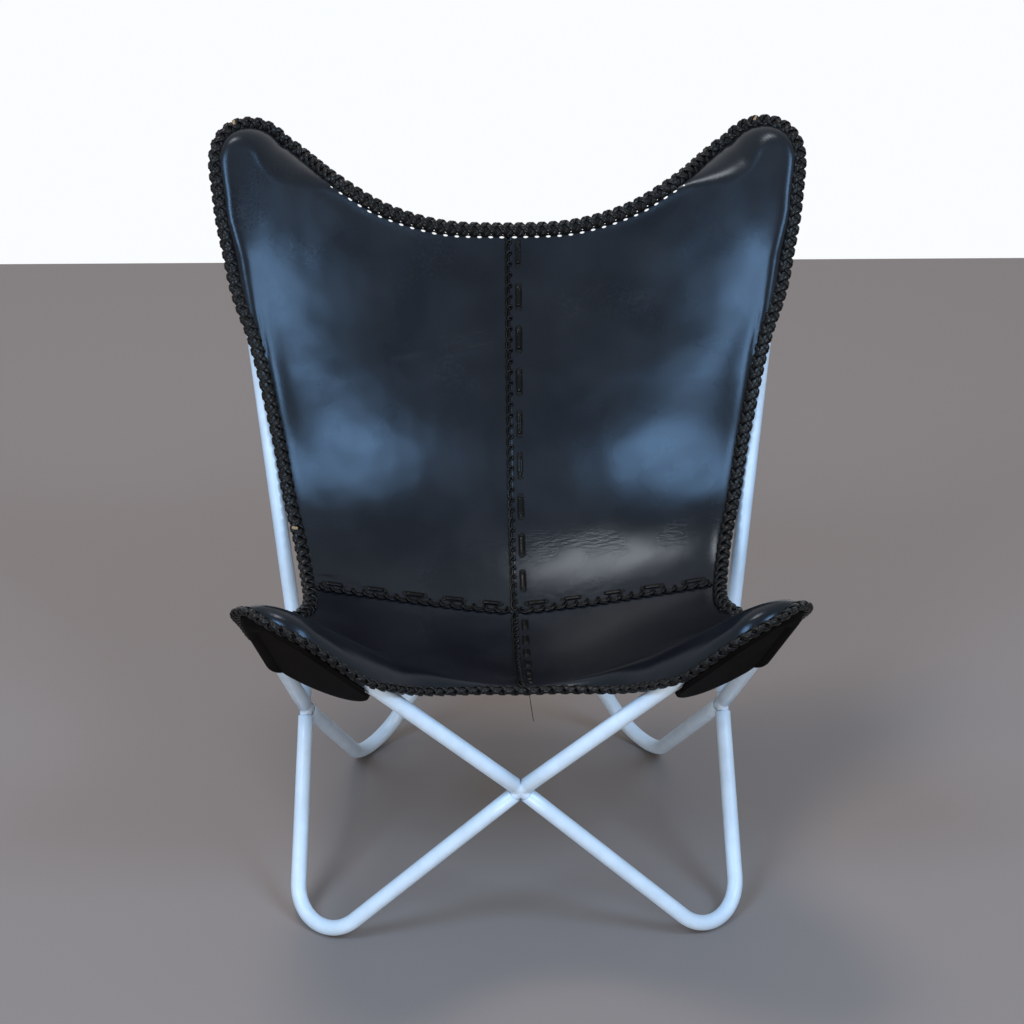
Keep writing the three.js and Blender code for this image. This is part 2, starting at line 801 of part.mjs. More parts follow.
// Pockets: each is sewn along the rim of its panel, between two marks, and hangs under the tube
function pocketGrid(panel, seam) {
  const half = (hideThickness + pocketGap) / 2;
  const rim = seam.map(({ x, station }) => {
    const { drop } = nearestRim(panel.rim, x, station);
    return { x, station, drop: baseHeight(x, station) - drop - half - planeHeight(panel.run, x, station) };
  });
  const fine = [];
  for (let step = 0; step < rim.length - 1; step += 1) {
    for (let part = 0; part < pocketParts; part += 1) {
      const share = part / pocketParts;
      fine.push({
        x: mix(rim[step].x, rim[step + 1].x, share),
        station: mix(rim[step].station, rim[step + 1].station, share),
        drop: mix(rim[step].drop, rim[step + 1].drop, share),
      });
    }
  }
  fine.push(rim[rim.length - 1]);
  const surface = (x, station) => {
    const { drop, distance } = nearestRim(fine, x, station);
    const under = half + (standOff - half) * (1 - rolled(distance, rollWidth));
    const free = drop * (1 - ease(0, pocketFade, distance));
    const height = planeHeight(panel.run, x, station) - under + free;
    return clearOf(panel.run, slingPoint(x, station, height), hideClear + pocketSlack);
  };
  const mouthFrom = rim[0];
  const mouthTo = rim[rim.length - 1];
  const tip = rim[Math.floor(rim.length / 2)];
  const rows = [];
  for (let row = 0; row < pocketRows; row += 1) {
    rows.push(rim.slice(1, -1).map((place, index) => {
      const along = (1 - Math.cos((Math.PI * (index + 1)) / (rim.length - 1))) / 2;
      const bow = panel.mouthBow * Math.sin(Math.PI * along);
      const mouthX = mix(tip.x, mix(mouthFrom.x, mouthTo.x, along), 1 + bow);
      const mouthStation = mix(tip.station, mix(mouthFrom.station, mouthTo.station, along), 1 + bow);
      const scale = centreLine(place.station).length;
      const depth = Math.hypot(mouthX - place.x, scale * (mouthStation - place.station));
      const even = row / (pocketRows - 1);
      const share = row < pocketReaches.length ? Math.min(even, pocketReaches[row] / depth) : even;
      const x = mix(place.x, mouthX, share);
      const station = mix(place.station, mouthStation, share);
      return { x, station, point: surface(x, station), square: squareTo(surface, x, station) };
    }));
  }
  return rows;
}
const last = across.length - 1;
const backSide = backGrid.map((row) => row[last]);
const seatSide = seatGrid.map((row) => row[last]);
const topRow = backGrid[backGrid.length - 1];
const frontRow = seatGrid[0];
const rearSeam = [
  ...backSide.filter(({ station }) => station > rearPocketStation),
  ...topRow.slice(0, last).reverse().filter(({ x }) => x > rearPocketShare * rearTipSpan),
];
const frontSeam = [
  ...frontRow.filter(({ x }) => x > frontPocketShare * frontTipSpan),
  ...seatSide.slice(1).filter(({ station }) => station < frontPocketStation),
];

for (const [side, left] of [['left', true], ['right', false]]) {
  addPiece(`back_panel_${side}`, sheetGeometry(backGrid, hideThickness, left), leather);
  addPiece(`seat_panel_${side}`, sheetGeometry(seatGrid, hideThickness, left), leather);
  addPiece(`rear_pocket_${side}`, sheetGeometry(pocketGrid(backPanel, rearSeam), hideThickness, left), pouch);
  addPiece(`front_pocket_${side}`, sheetGeometry(pocketGrid(seatPanel, frontSeam), hideThickness, left), pouch);
}

// Thong work

// A solid strip along marks, each with the strip's middle, its outward way and its upward way
function stripGeometry(marks, outline) {
  const sides = outline.length;
  const points = marks.flatMap(({ middle, out, up }) => outline.map(([wide, high]) => middle.clone()
    .addScaledVector(out, wide)
    .addScaledVector(up, high)));
  const faces = ringFaces(0, marks.length, sides, true);
  const end = (marks.length - 1) * sides;
  for (let side = 1; side < sides - 1; side += 1) {
    faces.push(0, side, side + 1);
    faces.push(end, end + side + 1, end + side);
  }
  return geometryOf(points, faces);
}

// A lace round the rim lies just outside the edge of the hide, clear of the tube
const laceClear = tubeRadius + braidThickness / 2 + hideGap + hideSag;
function laceMarks(places, panelOf, sewnOf) {
  return places.map((place, index) => {
    const panel = panelOf(place);
    const before = places[Math.max(index - 1, 0)];
    const after = places[Math.min(index + 1, places.length - 1)];
    const scale = centreLine(place.station).length;
    const turn = vec(after.station - before.station, -(after.x - before.x) / scale / scale, 0);
    const span = Math.hypot(turn.x, turn.y * scale);
    const { drop } = nearestRim(panel.rim, Math.abs(place.x), place.station);
    const level = (x, station) => slingPoint(x, station, baseHeight(x, station) - drop);
    const outer = level(place.x + (probe * turn.x) / span, place.station + (probe * turn.y) / span);
    const inner = level(place.x - (probe * turn.x) / span, place.station - (probe * turn.y) / span);
    const along = after.point.clone().sub(before.point).normalize();
    const out = outer.sub(inner).projectOnPlane(along).normalize();
    const up = along.clone().cross(out).negate().normalize();
    const rise = mix(braidThickness - hideThickness, -(hideThickness + pocketGap), sewnOf(place)) / 2;
    const middle = place.point.clone()
      .addScaledVector(out, laceGap + braidWidth / 2)
      .addScaledVector(up, rise);
    const flipped = middle.x < 0;
    const beside = clearOf(panel.run, flipped ? mirrored(middle) : middle, laceClear);
    return { middle: flipped ? mirrored(beside) : beside, out, up };
  });
}
const laceOutline = [[1, -1 / 2], [1, 1 / 2], [1 / 2, 1], [-1 / 2, 1], [-1, 1 / 2], [-1, -1 / 2], [-1 / 2, -1], [1 / 2, -1]]
  .map(([wide, high]) => [(wide * braidWidth) / 2, (high * braidThickness) / 2]);
const flip = (place) => ({ x: -place.x, station: place.station, point: mirrored(place.point) });
const isBack = (place) => place.station > crossSeamStation;
const sideLace = laceMarks(
  [...seatSide, ...backSide.slice(1)],
  (place) => (isBack(place) ? backPanel : seatPanel),
  (place) => (isBack(place) ? backSewn : seatSewn).side([Math.abs(place.x), place.station]),
);
const topLace = laceMarks(
  [...topRow.slice().reverse(), ...topRow.slice(1).map(flip)],
  () => backPanel,
  (place) => backSewn.end([Math.abs(place.x), place.station]),
);
const frontLace = laceMarks(
  [...frontRow.slice(1).reverse().map(flip), ...frontRow],
  () => seatPanel,
  (place) => seatSewn.end([Math.abs(place.x), place.station]),
);

// Neighbouring laces stop short of each other
function trimmed(marks) {
  const ends = [[0, 1], [marks.length - 1, marks.length - 2]];
  const copy = marks.map((mark) => ({ ...mark, middle: mark.middle.clone() }));
  for (const [end, next] of ends) {
    const way = marks[next].middle.clone().sub(marks[end].middle).normalize();
    copy[end].middle.addScaledVector(way, laceTrim);
  }
  return copy;
}
const mirroredMarks = (marks) => marks.map(({ middle, out, up }) => ({
  middle: mirrored(middle),
  out: mirrored(out),
  up: mirrored(up),
})).reverse();
addPiece('edge_lacing_right', stripGeometry(trimmed(sideLace), laceOutline), thong);
addPiece('edge_lacing_left', stripGeometry(mirroredMarks(trimmed(sideLace)), laceOutline), thong);
addPiece('edge_lacing_top', stripGeometry(trimmed(topLace), laceOutline), thong);
addPiece('edge_lacing_front', stripGeometry(trimmed(frontLace), laceOutline), thong);

// Chains and running stitches lie on the hide, on the same straight stretches as its grid
const between = (from, towards, share) => ({
  point: from.point.clone().lerp(towards.point, share),
  square: from.square.clone().lerp(towards.square, share).normalize(),
});

function onHide(from, towards, offset, height) {
  const share = offset / from.point.distanceTo(towards.point);
  const { point, square } = between(from, towards, share);
  const out = towards.point.clone().sub(from.point).normalize();
  return { middle: point.addScaledVector(square, hideThickness / 2 + height), out, up: square };
}
const flatOutline = (width, thickness) => [[1, -1], [1, 1], [-1, 1], [-1, -1]]
  .map(([wide, high]) => [(wide * width) / 2, (high * thickness) / 2]);
const chainOutline = flatOutline(chainWidth, chainThickness);
const stitchOutline = flatOutline(stitchWidth, stitchThickness);
const chainHeight = hideGap + chainLift + chainThickness / 2;
const crossHeight = hideGap + crossLift + chainThickness / 2;
const stitchHeight = hideGap + stitchThickness / 2;
const centreChain = (grid) => grid.map(([{ point, square }]) => {
  const up = square.clone().setX(0).normalize();
  const middle = point.clone().setX(0).addScaledVector(up, hideThickness / 2 + chainHeight);
  return { middle, out: vec(1, 0, 0), up };
});
const centreStitch = (grid) => grid.slice(1, -1)
  .map((row) => onHide(row[0], row[1], stitchOffset, stitchHeight));
addPiece('centre_chain_back', stripGeometry(trimmed(centreChain(backGrid)), chainOutline), thong);
addPiece('centre_chain_seat', stripGeometry(trimmed(centreChain(seatGrid)), chainOutline), thong);
addPiece('running_thong_back', stripGeometry(centreStitch(backGrid), stitchOutline), thong);
addPiece('running_thong_seat', stripGeometry(centreStitch(seatGrid), stitchOutline), thong);

// The cross seam's chain starts beside the centre chain and its running thong a little farther out
const seamWidth = backGrid[0][0].point.distanceTo(backGrid[0][1].point);
const chainStart = (chainWidth / 2 + hideGap) / seamWidth;
const lower = backGrid[0];
const upper = backGrid[1];
const crossChain = [
  onHide(between(lower[0], lower[1], chainStart), between(upper[0], upper[1], chainStart), 0, crossHeight),
  ...lower.slice(1).map((mark, index) => onHide(mark, upper[index + 1], 0, crossHeight)),
];
const crossStitch = lower.slice(2, -2)
  .map((mark, index) => onHide(mark, upper[index + 2], stitchOffset, stitchHeight));
for (const [side, left] of [['left', true], ['right', false]]) {
  const chain = left ? mirroredMarks(crossChain) : crossChain;
  const stitch = left ? mirroredMarks(crossStitch) : crossStitch;
  addPiece(`cross_chain_${side}`, stripGeometry(chain.reverse(), chainOutline), thong);
  addPiece(`cross_thong_${side}`, stripGeometry(stitch.reverse(), stitchOutline), thong);
}

// The origin is the middle of the chair's box, on the floor
const chairBox = new THREE.Box3().setFromObject(chair);
const chairMiddle = chairBox.getCenter(vec(0, 0, 0));
chair.position.set(-chairMiddle.x, -chairMiddle.y, -chairBox.min.z);

export default chair;
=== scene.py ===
"""Dresses the butterfly sling chair: a knock-down frame of enamelled tubes under a laced leather sling."""

import bpy
import numpy as np
from bpy.props import FloatProperty, FloatVectorProperty, IntProperty, PointerProperty
from mathutils import Matrix, Vector


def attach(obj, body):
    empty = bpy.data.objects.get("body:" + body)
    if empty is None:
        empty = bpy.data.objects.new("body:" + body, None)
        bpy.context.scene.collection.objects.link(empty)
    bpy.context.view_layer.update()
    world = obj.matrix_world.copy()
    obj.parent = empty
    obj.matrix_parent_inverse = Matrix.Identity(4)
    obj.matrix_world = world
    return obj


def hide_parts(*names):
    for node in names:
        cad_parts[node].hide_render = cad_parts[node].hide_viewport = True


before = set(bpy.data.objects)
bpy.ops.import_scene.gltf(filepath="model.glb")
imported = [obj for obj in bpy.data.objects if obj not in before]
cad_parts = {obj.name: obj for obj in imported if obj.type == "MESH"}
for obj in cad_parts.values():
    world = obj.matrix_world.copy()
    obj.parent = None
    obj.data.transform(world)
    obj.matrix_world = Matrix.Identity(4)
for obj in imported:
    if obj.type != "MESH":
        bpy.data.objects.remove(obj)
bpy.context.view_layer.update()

bl_info = {
    "name": "Butterfly sling chair",
    "version": (1, 0, 0),
    "blender": (4, 5, 0),
    "location": "View3D > Sidebar > Sling chair",
    "description": "Builds the enamelled frame, the leather sling and its thong work",
    "category": "Add Mesh",
}

# The chair's drawing is in millimetres; its depths move by DEPTH_SHIFT to the middle of its box
MM = 0.001
DEPTH_SHIFT = -41.9469
SIDES = ("right", "left")

# Bent tubes: half span across, depth (front is negative) and height of crossings and bend centres
TUBE_RADIUS = 9.75
FRONT_CROSS = (0, -254, 228)
SIDE_CROSS = (268, -33, 214)
REAR_CROSS = (0, 268, 294)
FRONT_FOOT = (230, -198)
REAR_FOOT = (177, 187)
FOOT_BEND = 57.5
FRONT_TIP = (273, -275, 455)
FRONT_TIP_BEND = 46
REAR_TIP = (336, 374, 801)
REAR_TIP_BEND = 35
# How deep the feet are worn, and the rounds that find their height
WEAR_DEPTH, FOOT_ROUNDS = 0.9, 8
# The gap between two tubes' rims at a crossing, and the rounding of a rim
RIM_GAP, TUBE_RIM = 0.6, 0.5
# The spigots' play in the bores, their reach, chamfer and sides
SPIGOT_CLEARANCE, SPIGOT_REACH, SPIGOT_CHAMFER, SPIGOT_SIDES = 0.3, 44, 1, 40
# How finely the spigots' weld is cut, in metres
WELD_VOXEL = 0.0011
# Steps of a bend as the sling follows it, of a bend and of a straight as the tube shows them
BEND_MARKS, BEND_STEPS, STRAIGHT_STEPS = 9, 40, 8

# The sling's centre line, as shares of the way from its low point to the tips: back (or forward), up
SEAT_LOW = (-53, 319)
FRONT_LINE = [[1.66, 1.054], [1.26, 0.705], [0.861, 0.357], [0.444, 0.078]]
BACK_LINE = [
    [0.228, 0.0395], [0.431, 0.139], [0.594, 0.287], [0.716, 0.464],
    [0.811, 0.655], [0.914, 0.85], [1.016, 1.037], [1.119, 1.225],
]
# How high the sides stand above it and how full they are: a rise, and a share of it at every station
BUCKET_RISE = 86
RISES = [1.28, 1.14, 0.93, 0.91, 0.91, 0.93, 0.95, 1, 0.9, 0.66, 0.465, 0.302, 0.186]
FLANKS = [1.2, 1.2, 1.2, 0.8, 0.3, 0, 0, 0, 0, 0, 0, 0, 0]
# Stations over which the lift and the half span pass from the front tips' to the rear tips'
LIFT_STATIONS, SPAN_STATIONS = (3, 6), (1, 11)

# Edges of the hide: stations on the centre line, and shares of the local half span
FRONT_EDGE = 2.06
CROSS_SEAM = 4.6
TOP_EDGE = 9.88
SEAM_BOW = [[0, 0], [0.3, 0.07], [0.65, 0.08], [1, -0.03]]
BACK_SIDE = [
    [4.57, 0.878], [5.05, 0.885], [5.55, 0.897], [6.1, 0.919], [6.8, 0.939],
    [7.5, 0.966], [8.1, 0.985], [8.6, 1.007], [9.0, 1.034],
]
SEAT_SIDE = [[3.1, 1.03], [3.6, 0.922], [4.1, 0.876]]
TOP = [
    [11.04, 0.86], [10.84, 0.79], [10.59, 0.71], [10.38, 0.62], [10.2, 0.535],
    [10.07, 0.44], [9.98, 0.35], [9.9, 0.22],
]
FRONT = [[1.42, 0.57], [1.8, 0.42], [2.02, 0.215]]
# The seam round a tip: how far down the tube's arms, in bend radii, and the mark at the hide's corner
WING_INNER, WING_OUTER, LOBE_OUTER = 1.8, 2.6, 2.4
WING_CORNER, LOBE_CORNER = 8, 6
# How far each mark of that seam lies outside the tube's line
WING_OVERHANGS = [15] * 14
LOBE_OVERHANGS = [15] * 8 + [16, 18, 20, 22]
# The pockets' seams begin at a station of the side and at a share of the tips' span
REAR_POCKET, FRONT_POCKET = (9.4, 0.875), (2.75, 0.68)

# The hide's thickness, its gap to its neighbours and its stand-off where it bridges a tube
HIDE, HIDE_GAP, HIDE_SAG = 3.0, 0.3, 2.4
# How wide the hide turns over at its rim, how little where it hangs free, and how its drop blends
ROLL_WIDTH, FLAT_ROLL, DROP_SPREAD = 14, 3, 7
# Where the rims come to be sewn round the tubes: stations along the sides, shares of the tips' span
BACK_SEWN, TOP_SEWN, SEAT_SEWN, WING_RISES = (8.5, 9.2), (0.67, 0.87), (2.7, 3.5), (1.05, 1.2)
# How the seat's front edge turns down, and how far its seam is raised at the wing and lowered in front
FRONT_TURN_SHARE, FRONT_TURN_POWER, FRONT_TURN_LEAST = 0.68, 2.4, 0.05
WING_RAISE, FRONT_RAISE = 6, -12
# The pockets' gap at their seam, play round the tube, and how far their loose rim reaches
POCKET_GAP, POCKET_SLACK, POCKET_FADE = 1.2, 0.4, 25
FRONT_MOUTH_BOW, REAR_MOUTH_BOW = 0.45, 0
# How far slopes are probed, and how many points are measured against the rim at a time
PROBE, CHUNK = 2, 2000
# Tries to a station and rounds that find a point's station, steps of an edge between two places
STATION_TRIES, NEWTON_ROUNDS, EDGE_STEPS = 20, 6, 16
# Where the sling is held off a tip tube's arms, as shares of their length
ARM_MARKS = (0.25, 0.5, 0.75)
# Samples of the centre line, of a panel's edge, and of the edges under a pocket, braid, thong or chain
LINE_SAMPLES, EDGE_SAMPLES, POCKET_SAMPLES = 600, 600, 800
BRAID_SAMPLES, THONG_SAMPLES, CHAIN_SAMPLES = 400, 400, 300

# Each hide: the solid it stands for, the end whose tip tubes carry it, the rectangle it is cut from in metres
HIDES = {
    "back": ("back_panel", "rear", (0.4, 0.73)),
    "seat": ("seat_panel", "front", (0.35, 0.47)),
    "rear_pocket": ("rear_pocket", "rear", (0.1, 0.21)),
    "front_pocket": ("front_pocket", "front", (0.2, 0.21)),
}
# Grids of the hides: even steps, then the share of the way that is crowded, and its steps
ACROSS, BACK_UP, SEAT_UP = (84, 0.06, 9), (150, 0.045, 9), (70, 0.1, 9)
# The pockets' columns and rows, and the power by which the rows crowd at the seam
POCKET_GRID, POCKET_CROWD = (90, 40), 1.5
# Pebbles of the grain to the metre
GRAIN_SCALE = 620
# Unevenness of the hide: shortest and longest wave, number, seed, height; the band above the cross seam
SLOW_WAVES, QUICK_WAVES = (130, 260, 10, 3, 0.7), (30, 80, 16, 5, 0.09)
SEAM_WAVES, SEAM_BAND = (7, 13, 12, 11, 0.10), (22, 18)
# It dies out over these distances from a rim and from the cross seam; the band's from seam, middle and rim
CALM_RIM, CALM_SEAM = (4, 30), (3, 24)
CALM_BAND = ((4, 14), (6, 24), (6, 20))
# Creases in the hide (left side): ends as (across, along the centre line), width, depth
CREASES = [
    ((90, 388), (31, 403), 3.5, 1.0), ((82, 374), (19, 387), 6.0, 0.8), ((150, 372), (100, 384), 7.0, 0.4),
    ((262, 30), (222, 40), 5.0, 0.6), ((255, 14), (214, 18), 4.0, 0.5),
]
# The hide stands proud along the tube under each side: rising and falling stations, width, height, span
EDGE_SWELL = ((6.6, 7.8), (9.6, 10.2), 12, 3.0, (200, 250))

# Lace holes in metres: their pitch along the rim, their length and width, and how far in they lie
HOLE_PITCH, HOLE_SIZE, HOLE_INSET = 0.0149, (0.0066, 0.0038), 0.0027
# The holes show along the top edge only: how far across, from which station, and a distance beyond every hole
HOLES, NO_HOLES = (236, 9), 60
# The braid's gap to the hide and its lap over the hide's edge
LACE_GAP, LACE_LAP = 1.3, 2.6
# The braid's strands are this thick, pass over one another by a share of it and lie round a core
STRAND_THICK, STRAND_LIFT_SHARE, CORE_SIDES = 2.5, 0.5, 12
# Samples along half the rim, and the reach of its smoothing
RIM_SAMPLES, RIM_SMOOTHING = 1400, 10
# Millimetres to a step of the strands, of their core and of the centre seam
STRAND_STEP, CORE_STEP, CENTRE_STEP = 1.25, 5, 1.2
# The tan lace ends: places along the rim from the middle of the front, width and thickness, and their bend
KNOTS, KNOT_SIZE = (-1398, 1430, -836, -640), (4.2, 1.6)
KNOT_ARC, KNOT_LEAN, KNOT_LIFT = (0.16, 0.44), 1.5, (0.6, 0.9)
# The loose thread: its place along the rim, its thickness, its stand-off with its bend, and its fall
THREAD, THREAD_WIDE, THREAD_OUT, THREAD_FALL = 9, 0.9, (5, 3), (6.0, 0, -42.0)

# Seam chains: share of the chain's width, and the width and thickness of their thong
CENTRE_CHAIN, CROSS_CHAIN = (0.85, 3.2, 2.4), (1.2, 3.0, 2.4)
# Their lean as a share of a link, their lift and its swing as shares of the thickness, and steps to a link
CHAIN_LEAN_SHARE, CHAIN_LIFT, LINK_STEPS = 0.36, (0.6, 0.5), 22
# The core under a chain: millimetres to a step, lift, share of the chain's width, thickness
CHAIN_CORE = (4, 0.2, 0.3, 0.9)
# How high they lie on the centre seam and on the cross seam, and how many stations above the latter
CENTRE_LIFT, CROSS_LIFT, CROSS_UP = 0.2, 0.3, 0.02
# Where they end: millimetres from the outer edge and from the cross seam, and shares of the cross seam
CHAIN_ENDS, CROSS_CHAIN_ENDS = (3, 2), (0.02, 0.985)
# Running thongs: how far beside the centre seam and above the cross seam, and how thick
BESIDE_SEAM, ABOVE_SEAM = 13.0, 14.5
RUNNING_THICK, CROSS_THICK = 1.7, 1.8
# A stitch stands proud and dives by shares of its thickness, over shares of its length
STITCH_LIFT, STITCH_RISES, STITCH_DIVES = (0.7, 2.4), (0.02, 0.2), (0.8, 0.98)
# Margins at the back's top and foot; the seat's start, pitch and margin; lengths on the seat and crosswise
BACK_STITCHES, SEAT_STITCHES, SEAT_STITCH, CROSS_STITCH = (8, 8), (-36, 33, 14), 22.0, 29.0
# Where the stitches above the cross seam start, across from the middle
CROSS_STITCHES = (15, 62, 113, 164, 216)
# The painted groove shade and the lip round a stitch reach past it along it and beside it; half the width and
# height of its lip
SLIT_PAST, SLIT_BESIDE, LIP = 1.5, 1.3, (0.7, 0.55)
# The painted shade over the hole at a stitch's end: its radius over the thong's width, how long it is, its
# lift
HOLE_SHADE_SHARE, HOLE_SHADE_LONG, HOLE_SHADE_LIFT = 0.55, 1.15, 0.05
# The dome of that shade: shares of its radius and their lifts; the faces round it
HOLE_SHADE_DOME, HOLE_SHADE_SIDES = ((1, -0.5), (1, 0.1), (0.7, 0.3), (0.1, 0.35)), 16
# The painted shade in the groove under a stitch: how deep and how high its faces lie; the steps and faces
# round the lip
GROOVE_SHADE_LIFTS, LIP_STEPS, LIP_SIDES = (-0.6, 0.12), 40, 6
# Steps along a knot, a thread, a stitch, the cut round it and the painted groove shade in that cut
KNOT_STEPS, THREAD_STEPS, STITCH_STEPS, SLIT_STEPS, GROOVE_SHADE_STEPS = 14, 24, 22, 12, 24

# The photograph's camera: place, turns in degrees and focal length over the picture's side
CAMERA_PLACE = (-0.1101, -3.0807, 2.0391)
CAMERA_YAW, CAMERA_PITCH, CAMERA_ROLL = 2.0, -27.2, 0.4
FOCAL_SHARE = 2723.1 / 1024
SENSOR = 36.0
# Tints of the window lamps, the ceiling lamp and the low front lamp
BLUE, WARM, NEUTRAL = (0.46, 0.71, 1.0), (1.0, 0.89, 0.80), (1.0, 0.98, 0.96)


# Sizes and colours that a user would change


def a_size(name, description, default):
    """A length that a user can change."""
    return FloatProperty(name=name, description=description, default=default, unit="LENGTH", precision=4)


def a_power(name, description, default):
    """A lamp's power that a user can change."""
    return FloatProperty(name=name, description=description, default=default, unit="POWER")


def a_colour(name, description, default):
    """A colour that a user can change."""
    return FloatVectorProperty(
        name=name, description=description, default=default, subtype="COLOR", size=3, min=0, max=1)


class ChairFrameProps(bpy.types.PropertyGroup):
    """The steel tubes and their finish."""

    wall: a_size("Tube wall", "Wall of the bent tubes", 0.0015)
    sides: IntProperty(name="Sides", description="Faces round a tube", default=32, min=12)
    enamel: a_colour("Enamel", "Powder-blue enamel of the tubes", (0.53, 0.63, 0.74))
    worn: a_colour("Worn steel", "Bare metal at chips and at the worn feet", (0.20, 0.21, 0.22))


class SlingProps(bpy.types.PropertyGroup):
    """The leather panels and pockets."""

    leather: a_colour("Leather", "Dark blue-black finished side", (0.0030, 0.0034, 0.0050))
    flesh: a_colour("Flesh side", "Matte brown-black underside", (0.0018, 0.0014, 0.0013))
    dust: a_colour("Worn grain", "Where the finish is rubbed dull", (0.020, 0.021, 0.024))


class ThongProps(bpy.types.PropertyGroup):
    """The laces, chains and running thongs."""

    braid_width: a_size("Braid width", "Width of the braid round the rim", 0.017)
    braid_thickness: a_size("Braid thickness", "Thickness of the braid round the rim", 0.0095)
    braid_repeat: a_size("Braid repeat", "Length of one turn of a braid strand", 0.0298)
    strand: a_size("Strand width", "Width of a braid strand", 0.0070)
    chain_pitch: a_size("Chain pitch", "Length of one link of the seam chains", 0.0143)
    chain_width: a_size("Chain width", "Width of the seam chains", 0.0118)
    stitch_pitch: a_size("Stitch pitch", "Length of one stitch and its gap", 0.0563)
    stitch_length: a_size("Stitch length", "Length of a stitch on the grain side", 0.034)
    stitch_width: a_size("Stitch width", "Width of the running thong", 0.0056)
    thong: a_colour("Lace", "Dark leather of the braid round the rim", (0.0064, 0.0060, 0.0060))
    seam_thong: a_colour("Seam thong", "Blacker leather of the other thongs", (0.0016, 0.0016, 0.0018))
    knot: a_colour("Knot", "Tan end of a lace", (0.30, 0.20, 0.11))


class StageProps(bpy.types.PropertyGroup):
    """The floor, the backdrop and the lamps."""

    floor: a_colour("Floor", "Plain floor", (0.185, 0.155, 0.145))
    reach: a_size("Reach", "Half width of the floor", 6.0)
    rear: a_size("Rear edge", "Depth at which the floor ends behind the chair", 1.98)
    window: a_power("Windows", "Power of each window lamp", 90.0)
    ceiling: a_power("Ceiling", "Power of the lamp overhead", 94.0)
    fill: a_power("Fill lamp", "Power of the low front lamp", 48.0)
    sky: FloatProperty(name="Sky", description="Strength of the light all round", default=0.46)


# Small whole-array helpers


def unit(v):
    """Each vector over its own length."""
    return v / np.maximum(np.linalg.norm(v, axis=-1, keepdims=True), 1e-12)


def mix(a, b, share):
    """a at share 0 and b at share 1, straight in between."""
    return a + (b - a) * share


def ease(start, end, value):
    """0 before start and 1 after end: three squares less two cubes of the share of the way."""
    share = np.clip((value - start) / (end - start), 0, 1)
    return share * share * (3 - 2 * share)


def turned(v, axis, angle):
    """v turned about a unit axis: v cos + (axis x v) sin + axis (axis . v)(1 - cos)."""
    angle = np.asarray(angle, float)[..., None]
    along = np.sum(axis * v, -1, keepdims=True) * axis
    return v * np.cos(angle) + np.cross(axis, v) * np.sin(angle) + along * (1 - np.cos(angle))


def angle_between(a, b):
    """The angle whose cosine is the product of the two unit vectors."""
    return np.arccos(np.clip(np.sum(unit(a) * unit(b), -1), -1, 1))


def mirrored(points):
    """The same points on the other side of the chair."""
    return points * np.array([-1.0, 1.0, 1.0])


def path_length(points):
    """Length along a line of points, up to each."""
    return np.concatenate([[0], np.cumsum(np.linalg.norm(np.diff(points, axis=0), axis=1))])


def resampled(length, values, wanted):
    """Values at other lengths."""
    return np.stack([np.interp(wanted, length, values[:, k]) for k in range(values.shape[1])], -1)


def circle(count, start=0):
    """Even angles once round, the first a share of a step on."""
    return 2 * np.pi * (np.arange(count) + start) / count


def moved(points, out, wide, up, high):
    """Each point moved wide along its way out and high along its way up."""
    return points + out * wide[:, None] + up * high[:, None]


def hoops(points, out, wide, up, high):
    """A hoop about each point: point + out wide + up high, for every pair of wide and high."""
    return points[:, None] + out[:, None] * wide[None, :, None] + up[:, None] * high[None, :, None]


def waves(x, y, kind, side):
    """A smooth unevenness: height times the sum of sine waves of many lengths and ways, over root count."""
    shortest, longest, count, seed, height = kind
    rng = np.random.default_rng(seed + side)
    total = np.zeros(np.broadcast(x, y).shape)
    for _ in range(count):
        length = rng.uniform(shortest, longest)
        way, start = rng.uniform(0, 2 * np.pi, 2)
        total += np.sin(2 * np.pi * (x * np.cos(way) + y * np.sin(way)) / length + start)
    return total / np.sqrt(count) * height


# Meshes


def grid_faces(rows, columns, wrap_rows=False, wrap_columns=False):
    """The quads between neighbouring rows and columns of a grid of points."""
    row = np.arange(rows if wrap_rows else rows - 1)[:, None]
    column = np.arange(columns if wrap_columns else columns - 1)[None, :]
    after_row, after_column = (row + 1) % rows, (column + 1) % columns
    corners = [row * columns + column, row * columns + after_column,
               after_row * columns + after_column, after_row * columns + column]
    return np.stack([np.broadcast_to(c, (row.size, column.size)) for c in corners], -1).reshape(-1, 4)


def capped(hoop_rows):
    """A closed shape from hoops of points: the quads between them, and a cap on the first and on the last."""
    rows, columns = hoop_rows.shape[:2]
    faces = [list(face) for face in grid_faces(rows, columns, wrap_columns=True)]
    last = (rows - 1) * columns
    faces += [list(range(columns - 1, -1, -1)), list(range(last, last + columns))]
    return hoop_rows.reshape(-1, 3), faces


def joined(parts):
    """Several shapes as the points and faces of one."""
    points, faces, count = [], [], 0
    for part_points, part_faces in parts:
        points.append(part_points)
        faces += [[count + k for k in face] for face in part_faces]
        count += len(part_points)
    return np.concatenate(points), faces


def piece(name, points, faces, material, uvs=None, outward=True):
    """A piece that rides on the frame, from drawing millimetres moved to metres in the row frame."""
    mesh = bpy.data.meshes.new(name)
    place = (np.asarray(points).reshape(-1, 3) + (0, DEPTH_SHIFT, 0)) * MM
    if not outward:
        faces = [list(face)[::-1] for face in faces]
    mesh.from_pydata(place.tolist(), [], [list(map(int, face)) for face in faces])
    for key, values in (uvs or {}).items():
        layer = mesh.uv_layers.new(name=key)
        corner = np.zeros(len(mesh.loops), np.int32)
        mesh.loops.foreach_get("vertex_index", corner)
        layer.data.foreach_set("uv", np.asarray(values, np.float32).reshape(-1, 2)[corner].ravel())
    mesh.polygons.foreach_set("use_smooth", np.ones(len(mesh.polygons), bool))
    mesh.validate()
    made = bpy.data.objects.new(name, mesh)
    bpy.context.scene.collection.objects.link(made)
    made.data.materials.append(material)
    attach(made, "root")
    return made


